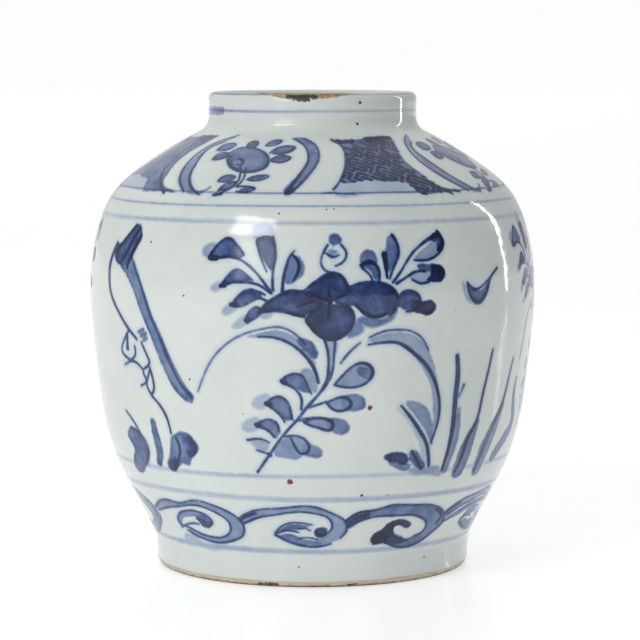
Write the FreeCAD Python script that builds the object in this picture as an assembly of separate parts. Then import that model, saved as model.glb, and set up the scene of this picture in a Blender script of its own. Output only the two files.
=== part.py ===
import FreeCAD, Part
import os

# A blue-and-white porcelain jar with broad shoulders and a short upright neck.
# Its base, lower body, upper body and neck were thrown apart and luted together
# with slip at scarfed joints. Lengths are in millimetres, over the glaze.
# The jar stands on its foot ring at z = 0, and its axis is the Z axis.
# Every piece is a closed outline in the XZ plane, turned about that axis.

# Whole jar
height = 200.0
belly_radius = 94.0
belly_height = 113.5

# Neck, and its height above the place where the shoulder turns up into it
neck_radius = 43.9
neck_height = 16.4
neck_root_flare = 3.5

# Foot, up to the place where the wall starts to swell from it
foot_radius = 66.9
foot_root_height = 13.4
foot_root_flare = 0.4
foot_taper = 0.7
foot_bevel_width = 1.6
foot_bevel_height = 2.2
foot_ring_width = 6.5
foot_inner_bevel = 0.9

# Wall and base
wall = 5.8
foot_wall_extra = 3.4
base_thickness = 7.8
recess_height = 6.8
recess_round = 2.6

# Luted joints: how far each one's outer end is above the foot's root, below the
# belly and above the neck's root, the slip in it, and the bead of slip that was
# pressed out of its inner end
base_joint_rise = 4.1
belly_joint_drop = 16.5
neck_joint_rise = 3.8
scarf_rise = 2.6
slip_thickness = 0.8
bead_radius = 2.8
bead_stand = 1.1

# The wall's outline. Each pair is a share of the rise and a share of the swell,
# from the foot's root up to the belly, and from there to the neck's root.
lower_wall_shares = ((0.12, 0.215), (0.25, 0.48), (0.44, 0.747), (0.69, 0.896))
upper_wall_shares = ((0.396, 0.057), (0.635, 0.215), (0.815, 0.526), (0.93, 0.80))

# How much of the extra wall the lowest stations have, from the foot's root up
extra_wall_shares = (1.0, 0.8, 0.55, 0.3, 0.1)

# How far a cutting outline runs past what it cuts
overrun = 4.0


# Outline helpers

def at(r, z):
    return FreeCAD.Vector(r, 0, z)


def line(start, end):
    return Part.LineSegment(start, end).toShape()


def arc_about(centre, start, end):
    """The shorter arc from start to end about centre."""
    halfway = (start - centre) + (end - centre)
    halfway.normalize()
    middle = centre + halfway * (start - centre).Length
    return Part.Arc(start, middle, end).toShape()


def region(edges):
    return Part.Face(Part.Wire(Part.sortEdges(edges)[0]))


# The wall's outer face, from the foot's root to the neck's root

foot_root = at(foot_radius + foot_root_flare, foot_root_height)
belly = at(belly_radius, belly_height)
neck_root = at(neck_radius + neck_root_flare, height - neck_height)


def between(low, high, shares):
    """Places part of the way up and across from one point to another."""
    span = high - low
    return [low + at(span.x * across, span.z * up) for up, across in shares]


stations = [foot_root]
stations += between(foot_root, belly, lower_wall_shares)
stations += [belly]
stations += between(belly, neck_root, upper_wall_shares)
stations += [neck_root]

outline = Part.BSplineCurve()
outline.interpolate(Points=stations)


def tangent_at(place):
    return outline.tangent(outline.parameter(place))[0]


def outwards_at(place):
    """The direction that points straight out of the wall."""
    tangent = tangent_at(place)
    side = at(tangent.z, -tangent.x)
    side.normalize()
    return side


outwards = [outwards_at(place) for place in stations]


def face_stations(depth):
    """The stations of the wall's outer face, at depth 0, or of its inner face.
    The wall is thicker towards the foot."""
    places = [place - side * depth for place, side in zip(stations, outwards)]
    if depth:
        for number, share in enumerate(extra_wall_shares):
            places[number] -= outwards[number] * (foot_wall_extra * share)
    return places


def root_turn(place, side, upright_radius):
    """Centre and radius of the hollow turn that leaves the wall at place and
    ends on an upright wall of the given radius."""
    radius = (place.x - upright_radius) / (1 - side.x)
    return place + side * radius, radius


foot_centre, foot_turn = root_turn(foot_root, outwards[0], foot_radius)
neck_centre, neck_turn = root_turn(neck_root, outwards[-1], neck_radius)

# The lip is a half round as thick as the wall
lip_radius = wall / 2
lip_centre = at(neck_radius - lip_radius, height - lip_radius)
lip_crest = lip_centre + at(0, lip_radius)


def wall_edges(depth):
    """The wall's outer or inner face, from the foot's root to the lip's crest."""
    places = face_stations(depth)
    curve = Part.BSplineCurve()
    curve.interpolate(
        Points=places,
        InitialTangent=tangent_at(foot_root),
        FinalTangent=tangent_at(neck_root),
    )
    neck_foot = neck_centre - at(neck_turn + depth, 0)
    lip_start = at(neck_foot.x, lip_centre.z)
    return [
        curve.toShape(),
        arc_about(neck_centre, places[-1], neck_foot),
        line(neck_foot, lip_start),
        arc_about(lip_centre, lip_start, lip_crest),
    ]


# The foot, its ring and the base

foot_low = at(foot_radius - foot_taper, foot_bevel_height)
ring_outer = foot_low.x - foot_bevel_width
ring_inner = ring_outer - foot_ring_width
floor_height = recess_height + base_thickness


def foot_edges():
    """From the wall's root down the foot and under its ring to the recess."""
    corner = foot_centre - at(foot_turn, 0)
    places = [
        corner,
        foot_low,
        at(ring_outer, 0),
        at(ring_inner + foot_inner_bevel, 0),
        at(ring_inner, foot_inner_bevel),
    ]
    edges = [arc_about(foot_centre, foot_root, corner)]
    edges += [line(a, b) for a, b in zip(places, places[1:])]
    return edges


def recess_edges():
    """The recess under the base: the ring's inner side and the ceiling."""
    side_low = at(ring_inner, foot_inner_bevel)
    centre = at(ring_inner - recess_round, recess_height - recess_round)
    side_top = at(ring_inner, centre.z)
    ceiling_edge = at(centre.x, recess_height)
    return [
        line(side_low, side_top),
        arc_about(centre, side_top, ceiling_edge),
        line(ceiling_edge, at(0, recess_height)),
    ]


def floor_edges():
    """The inner floor, with its turn up into the wall's inner face."""
    root = face_stations(wall)[0]
    radius = (root.z - floor_height) / (1 + outwards[0].z)
    centre = root - outwards[0] * radius
    floor_edge = at(centre.x, floor_height)
    return [line(at(0, floor_height), floor_edge), arc_about(centre, floor_edge, root)]


def jar_region():
    """The cross-section of the whole jar, before it is parted into its pieces."""
    edges = wall_edges(0) + wall_edges(wall) + foot_edges() + recess_edges() + floor_edges()
    edges.append(line(at(0, recess_height), at(0, floor_height)))
    return region(edges)


# The luted joints

def radius_at(z):
    """The radius of the jar's outer face at one height."""
    level = line(at(0, z), at(belly_radius + overrun, z))
    return Part.Wire(wall_edges(0)).distToShape(level)[1][0][0].x


def joint(jar, joint_height):
    """The slip in a scarfed joint, which rises towards the inside, and the
    bead that was pressed out of its inner end."""
    outer_end = at(radius_at(joint_height), joint_height)
    slope = at(-wall, scarf_rise)
    start = outer_end - slope * (overrun / wall)
    end = outer_end + slope * ((wall + foot_wall_extra + overrun) / wall)
    lift = at(0, slip_thickness)
    corners = [start, end, end + lift, start + lift, start]
    layer = region([line(a, b) for a, b in zip(corners, corners[1:])]).common(jar)
    inner_corners = sorted([v.Point for v in layer.Vertexes], key=lambda place: place.x)[:2]
    inner_end = (inner_corners[0] + inner_corners[1]) * 0.5
    slope.normalize()
    centre = inner_end - slope * (bead_radius - bead_stand)
    circle = Part.Circle(centre, FreeCAD.Vector(0, 1, 0), bead_radius)
    return layer, region([circle.toShape()]).cut(jar)


# The pieces

def turned(flat):
    """The solid that a flat outline makes when it turns about the jar's axis."""
    return flat.Faces[0].revolve(at(0, 0), FreeCAD.Vector(0, 0, 1), 360)


def save(name, solid):
    solid.exportStep(os.path.join("parts", name + ".step"))
    print(name, len(solid.Solids), "solid,", round(solid.Volume / 1000, 1), "cm3")


os.makedirs("parts", exist_ok=True)

jar = jar_region()
sections = jar
joints = {
    "base_luting_slip": foot_root.z + base_joint_rise,
    "belly_luting_slip": belly.z - belly_joint_drop,
    "neck_luting_slip": neck_root.z + neck_joint_rise,
}
for name, joint_height in joints.items():
    layer, bead = joint(jar, joint_height)
    save(name, turned(layer).fuse(turned(bead)).removeSplitter())
    sections = sections.cut(layer)

names = ["foot_and_base", "lower_body", "upper_body", "neck_collar"]
for name, section in zip(names, sorted(sections.Faces, key=lambda face: face.CenterOfMass.z)):
    save(name, turned(section))
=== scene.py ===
import math

import bpy
import numpy as np
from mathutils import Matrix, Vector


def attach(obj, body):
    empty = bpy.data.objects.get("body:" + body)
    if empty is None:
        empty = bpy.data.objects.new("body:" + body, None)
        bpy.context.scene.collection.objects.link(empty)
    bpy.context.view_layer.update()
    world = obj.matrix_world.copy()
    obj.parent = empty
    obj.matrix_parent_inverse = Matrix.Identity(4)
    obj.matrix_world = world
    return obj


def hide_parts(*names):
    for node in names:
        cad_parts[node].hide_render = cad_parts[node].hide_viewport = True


# A blue-and-white porcelain jar with broad shoulders and a short upright neck.
# Lengths are in millimetres and become metres where a mesh is made. The jar
# stands on its foot ring at z = 0, its axis is Z, and the camera looks along +Y.

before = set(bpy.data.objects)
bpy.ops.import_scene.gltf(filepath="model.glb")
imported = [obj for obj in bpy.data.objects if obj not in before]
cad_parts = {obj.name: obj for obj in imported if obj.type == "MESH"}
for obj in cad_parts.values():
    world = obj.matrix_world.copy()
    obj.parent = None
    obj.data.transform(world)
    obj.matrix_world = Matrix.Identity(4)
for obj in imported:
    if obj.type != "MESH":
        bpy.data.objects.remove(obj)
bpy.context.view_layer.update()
for thing in bpy.context.selected_objects:
    thing.select_set(False)

MM = 0.001


# ---------------------------------------------------------------- the jar's sizes

height = 200.0
belly_radius = 94.0
belly_height = 113.5
neck_radius = 43.9
neck_height = 16.4
neck_root_flare = 3.5
foot_radius = 66.9
foot_root_height = 13.4
foot_root_flare = 0.4
foot_taper = 0.7
foot_bevel_width = 1.6
foot_bevel_height = 2.2
foot_ring_width = 6.5
wall = 5.8
foot_wall_extra = 3.4
base_thickness = 7.8
recess_height = 6.8
recess_round = 2.6
base_joint_rise = 4.1
belly_joint_drop = 16.5
neck_joint_rise = 3.8
scarf_rise = 2.6
slip_thickness = 0.8
bead_radius = 2.8
bead_stand = 1.1
lower_wall_shares = ((0.12, 0.215), (0.25, 0.48), (0.44, 0.747), (0.69, 0.896))
upper_wall_shares = ((0.396, 0.057), (0.635, 0.215), (0.815, 0.526), (0.93, 0.80))
extra_wall_shares = (1.0, 0.8, 0.55, 0.3, 0.1)

# The glaze stops this far above the foot's edge and leaves the clay bare
bare_foot_height = 2.1
lip_radius = wall / 2


# ---------------------------------------------------------------- smooth curves


def through(points, step, closed=False):
    """Places every step along the smooth curve that goes through the points."""
    knots = np.array(points, float)
    if closed:
        knots = np.vstack([knots[-3:], knots, knots[:4]])
    chord = np.hypot(*np.diff(knots, axis=0).T)
    along = np.concatenate([[0.0], np.cumsum(chord)])
    count = len(knots)
    system = np.eye(count)
    bends = np.zeros_like(knots)
    for i in range(1, count - 1):
        before, after = chord[i - 1], chord[i]
        system[i, i - 1:i + 2] = before, 2 * (before + after), after
        bends[i] = 6 * ((knots[i + 1] - knots[i]) / after
                        - (knots[i] - knots[i - 1]) / before)
    bends = np.linalg.solve(system, bends)
    first, last = (along[3], along[-4]) if closed else (0.0, along[-1])
    places = np.linspace(first, last, max(2, int(round((last - first) / step)) + 1))
    span = np.clip(np.searchsorted(along, places, side="right") - 1, 0, count - 2)
    gap = chord[span][:, None]
    ahead = (along[span + 1] - places)[:, None]
    behind = (places - along[span])[:, None]
    return (bends[span] * ahead ** 3 / (6 * gap)
            + bends[span + 1] * behind ** 3 / (6 * gap)
            + (knots[span] / gap - bends[span] * gap / 6) * ahead
            + (knots[span + 1] / gap - bends[span + 1] * gap / 6) * behind)


def turn_about(centre, start, end, count):
    """Places on the shorter arc from start to end about centre."""
    from_angle = math.atan2(start[1] - centre[1], start[0] - centre[0])
    to_angle = math.atan2(end[1] - centre[1], end[0] - centre[0])
    sweep = (to_angle - from_angle + math.pi) % (2 * math.pi) - math.pi
    angles = from_angle + sweep * np.linspace(0, 1, count)
    radius = math.hypot(start[0] - centre[0], start[1] - centre[1])
    return np.column_stack([centre[0] + radius * np.cos(angles),
                            centre[1] + radius * np.sin(angles)])


def joined(*runs):
    """Runs of places put end to end, without the places they share."""
    places = np.vstack(runs)
    keep = np.concatenate([[True], np.hypot(*np.diff(places, axis=0).T) > 1e-4])
    return places[keep]


def lengths_along(places):
    """How far along the run each of its places is."""
    return np.concatenate([[0.0], np.cumsum(np.hypot(*np.diff(places, axis=0).T))])


def respaced(places, step):
    """The same run with its places about one step apart."""
    along = lengths_along(places)
    marks = np.linspace(0, along[-1], max(2, int(round(along[-1] / step)) + 1))
    return np.column_stack([np.interp(marks, along, places[:, i]) for i in (0, 1)])


# ---------------------------------------------------------------- the wall, as (r, z)

foot_root = np.array([foot_radius + foot_root_flare, foot_root_height])
belly = np.array([belly_radius, belly_height])
neck_root = np.array([neck_radius + neck_root_flare, height - neck_height])


def between(low, high, shares):
    """Places part of the way up and across from one point to another."""
    return [low + (high - low) * (across, up) for up, across in shares]


stations = np.array([foot_root, *between(foot_root, belly, lower_wall_shares),
                     belly, *between(belly, neck_root, upper_wall_shares), neck_root])


def outward_sides(places):
    """The direction straight out of the wall at each place of a smooth run."""
    slope = np.gradient(places, lengths_along(places), axis=0)
    sides = np.column_stack([slope[:, 1], -slope[:, 0]])
    return sides / np.hypot(*sides.T)[:, None]


fine_wall = through(stations, 0.25)
fine_sides = outward_sides(fine_wall)
nearest = [int(np.argmin(np.hypot(*(fine_wall - place).T))) for place in stations]
station_sides = fine_sides[nearest]


def root_turn(place, side, upright_radius):
    """Centre and radius of the hollow turn from a place on the wall to an upright wall."""
    radius = (place[0] - upright_radius) / (1 - side[0])
    return place + side * radius, radius


foot_centre, foot_turn = root_turn(foot_root, station_sides[0], foot_radius)
neck_centre, neck_turn = root_turn(neck_root, station_sides[-1], neck_radius)
lip_centre = np.array([neck_radius - lip_radius, height - lip_radius])
lip_crest = lip_centre + (0, lip_radius)


def face_of_wall(depth):
    """The outer face, at depth 0, or the inner face, from foot root to lip crest."""
    places = stations - station_sides * depth
    if depth:
        extra = np.zeros(len(stations))
        extra[:len(extra_wall_shares)] = extra_wall_shares
        places = places - station_sides * (foot_wall_extra * extra)[:, None]
    neck_foot = neck_centre - (neck_turn + depth, 0)
    lip_start = np.array([neck_foot[0], lip_centre[1]])
    return joined(through(places, 0.25),
                  turn_about(neck_centre, places[-1], neck_foot, 24),
                  np.linspace(neck_foot, lip_start, 40),
                  turn_about(lip_centre, lip_start, lip_crest, 16))


# The foot: its upright side, the edge of the glaze and the bare, worn clay below
foot_corner = foot_centre - (foot_turn, 0)
foot_low = np.array([foot_radius - foot_taper, foot_bevel_height])
ring_outer = foot_low[0] - foot_bevel_width
ring_inner = ring_outer - foot_ring_width
floor_height = recess_height + base_thickness

glaze_edge = foot_corner + (foot_low - foot_corner) * (
    (foot_corner[1] - bare_foot_height - 0.5) / (foot_corner[1] - foot_low[1]))
foot_side = joined(
    through([(foot_low[0] - 0.25, foot_bevel_height - 0.15), (foot_low[0] - 0.06, 2.55),
             (glaze_edge[0] - 0.2, bare_foot_height + 0.1)], 0.25),
    through([(glaze_edge[0] - 0.2, bare_foot_height + 0.1),
             (glaze_edge[0] + 0.16, bare_foot_height + 0.55),
             (glaze_edge[0] + 0.1, bare_foot_height + 1.5),
             (glaze_edge[0] + 0.02, bare_foot_height + 3.0)], 0.2),
    np.linspace((glaze_edge[0] + 0.02, bare_foot_height + 3.0), foot_corner, 24),
    turn_about(foot_centre, foot_corner, foot_root, 16))

outer_face = joined(foot_side, face_of_wall(0))
outer_along = lengths_along(outer_face)
inner_face = face_of_wall(wall)


def radius_out(z):
    """The radius of the outer face at one height."""
    return np.interp(z, outer_face[:, 1], outer_face[:, 0])


def length_at(z):
    """The length up the outer face at one height."""
    return np.interp(z, outer_face[:, 1], outer_along)


def height_at(length):
    """The height at one length up the outer face."""
    return np.interp(length, outer_along, outer_face[:, 1])


# ---------------------------------------------------------------- turning a piece

turning_steps = 240
painted_row = 2.35
plain_row = 6.0
corner_turn = math.radians(7)


def rows_on(places, row):
    """The places where a run needs a row: a row apart, and closer where it turns."""
    heading = np.unwrap(np.arctan2(*np.diff(places, axis=0).T[::-1]))
    along = lengths_along(places)
    kept, mark, turned_by = [0], 0.0, 0.0
    for i in range(1, len(places) - 1):
        turned_by += abs(heading[i] - heading[i - 1])
        if along[i] - mark >= row or turned_by >= corner_turn:
            kept.append(i)
            mark, turned_by = along[i], 0.0
    kept.append(len(places) - 1)
    return places[kept]


def crossing(face, line):
    """Where a line crosses a face: the share of the way along it, and the place."""
    origin, slope = line
    side = (face[:, 0] - origin[0]) * slope[1] - (face[:, 1] - origin[1]) * slope[0]
    i = int(np.argmax(np.sign(side[:-1]) != np.sign(side[1:])))
    share = side[i] / (side[i] - side[i + 1])
    return i, face[i] + (face[i + 1] - face[i]) * share


def cut_between(face, low=None, high=None):
    """The part of a face between two lines that cross it, with its ends on them."""
    start, first = (crossing(face, low) if low else (-1, face[0]))
    end, last = (crossing(face, high) if high else (len(face) - 1, face[-1]))
    return joined([first], face[start + 1:end + 1], [last])


scarf = np.array([-wall, scarf_rise])
scarf = scarf / np.hypot(*scarf)
lift = np.array([0.0, slip_thickness])
joint_heights = {
    "base": foot_root_height + base_joint_rise,
    "belly": belly_height - belly_joint_drop,
    "neck": height - neck_height + neck_joint_rise,
}
joint_lines = {}
for joint_name, joint_height in joint_heights.items():
    outer_end = np.array([radius_out(joint_height), joint_height])
    joint_lines[joint_name] = ((outer_end, scarf), (outer_end + lift, scarf))

foot_under = joined(
    rows_on(joined(np.linspace((0.0, recess_height),
                               (ring_inner - recess_round, recess_height), 60),
                   turn_about((ring_inner - recess_round, recess_height - recess_round),
                              (ring_inner - recess_round, recess_height),
                              (ring_inner, recess_height - recess_round), 10)), 5.0),
    through([(ring_inner + 0.02, 1.5), (ring_inner + 0.2, 0.55),
             (ring_inner + 0.75, 0.1), (ring_inner + 1.6, 0.02)], 0.35),
    [(ring_inner + 3.4, 0.0)],
    through([(ring_outer - 0.9, 0.02), (ring_outer - 0.2, 0.1), (ring_outer + 0.35, 0.4),
             (foot_low[0] - 0.6, 1.3), (foot_low[0] - 0.25, foot_bevel_height - 0.15)],
            0.35))
inner_root = inner_face[0]
floor_turn = (inner_root[1] - floor_height) / (1 + station_sides[0][1])
floor_centre = inner_root - station_sides[0] * floor_turn
floor_run = joined(
    turn_about(floor_centre, inner_root, (floor_centre[0], floor_height), 16),
    np.linspace((floor_centre[0], floor_height), (0.0, floor_height), 50))


def wall_outline(low, high, outer_row=painted_row):
    """A thrown section: its outer face, its scarf, its inner face and its scarf."""
    outer = rows_on(cut_between(outer_face, low, high), outer_row)
    inner = rows_on(cut_between(inner_face, low, high), plain_row)[::-1]
    closing = np.linspace(inner[-1], outer[0], 3) if low else outer[:1]
    return joined(outer, np.linspace(outer[-1], inner[0], 3), inner, closing)


def foot_outline(high):
    """The foot, its ring, the recess, and the base with its floor inside."""
    outer = rows_on(cut_between(outer_face, None, high), painted_row)
    inner = rows_on(cut_between(inner_face, None, high), plain_row)[::-1]
    return joined(foot_under, outer, np.linspace(outer[-1], inner[0], 3), inner,
                  rows_on(floor_run, 5.0))


def slip_outline(low, high):
    """A luted joint: the slip between the scarfs and the bead that it leaves inside."""
    outer = cut_between(outer_face, low, high)[[0, -1]]
    inner = cut_between(inner_face, low, high)[[0, -1]]
    centre = inner.mean(axis=0) - scarf * (bead_radius - bead_stand)
    reach = np.hypot(*(inner_face - centre).T)
    covered = inner_face[reach < bead_radius]
    bead_low, bead_high = covered[0], covered[-1]
    crest = centre + scarf * bead_radius
    return joined(outer, inner[1:], [bead_high],
                  turn_about(centre, bead_high, crest, 8),
                  turn_about(centre, crest, bead_low, 8), inner[:1], outer[:1])


def turned_piece(name, outline):
    """Draws an outline point by point and spins it about the jar's axis."""
    bpy.ops.mesh.primitive_plane_add(size=MM)
    piece = bpy.context.object
    piece.name = piece.data.name = name
    bpy.ops.object.mode_set(mode="EDIT")
    bpy.ops.mesh.select_all(action="SELECT")
    bpy.ops.mesh.merge(type="CENTER")
    bpy.ops.transform.translate(value=(outline[0][0] * MM, 0, outline[0][1] * MM))
    for stride in np.diff(outline, axis=0) * MM:
        bpy.ops.mesh.extrude_region_move(
            TRANSFORM_OT_translate={"value": (stride[0], 0, stride[1])})
    bpy.ops.mesh.select_all(action="SELECT")
    bpy.ops.mesh.spin(steps=turning_steps, angle=2 * math.pi,
                      center=(0, 0, 0), axis=(0, 0, 1))
    bpy.ops.mesh.select_all(action="SELECT")
    bpy.ops.mesh.remove_doubles(threshold=0.02 * MM)
    bpy.ops.mesh.select_all(action="SELECT")
    bpy.ops.mesh.normals_make_consistent(inside=False)
    bpy.ops.object.mode_set(mode="OBJECT")
    return piece


def place_on_face(angle, length):
    """The place at an angle round and a length up the outer face, in millimetres."""
    z = float(height_at(length))
    r = float(radius_out(z))
    return np.array((r * math.sin(angle), -r * math.cos(angle), z))


def coordinates(piece):
    """The places of the piece's points, in millimetres."""
    flat = np.empty(len(piece.data.vertices) * 3)
    piece.data.vertices.foreach_get("co", flat)
    return flat.reshape(-1, 3) / MM


def set_coordinates(piece, places):
    """Moves the piece's points to these places, in millimetres."""
    piece.data.vertices.foreach_set("co", (places * MM).ravel())
    piece.data.update()


# ---------------------------------------------------------------- the brushwork


def read_strokes(words):
    """Reads brush strokes, each as name | layer | widths | load | path. The layer is
    "line" for the dark drawing, "wash" for the blue inside it and "tint" for the palest
    wash. Widths are in millimetres along the path, or 0 for an area filled to its edge.
    The load says how full of cobalt the brush was, and the path is in the photograph."""
    read = []
    for stroke in words.split(";")[:-1]:
        name, layer, widths, load, path = [part.strip() for part in stroke.split("|")]
        widths = [float(width) for width in widths.split()]
        read.append((name, layer, widths[0] if len(widths) == 1 else widths,
                     float(load), path))
    return read


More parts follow.
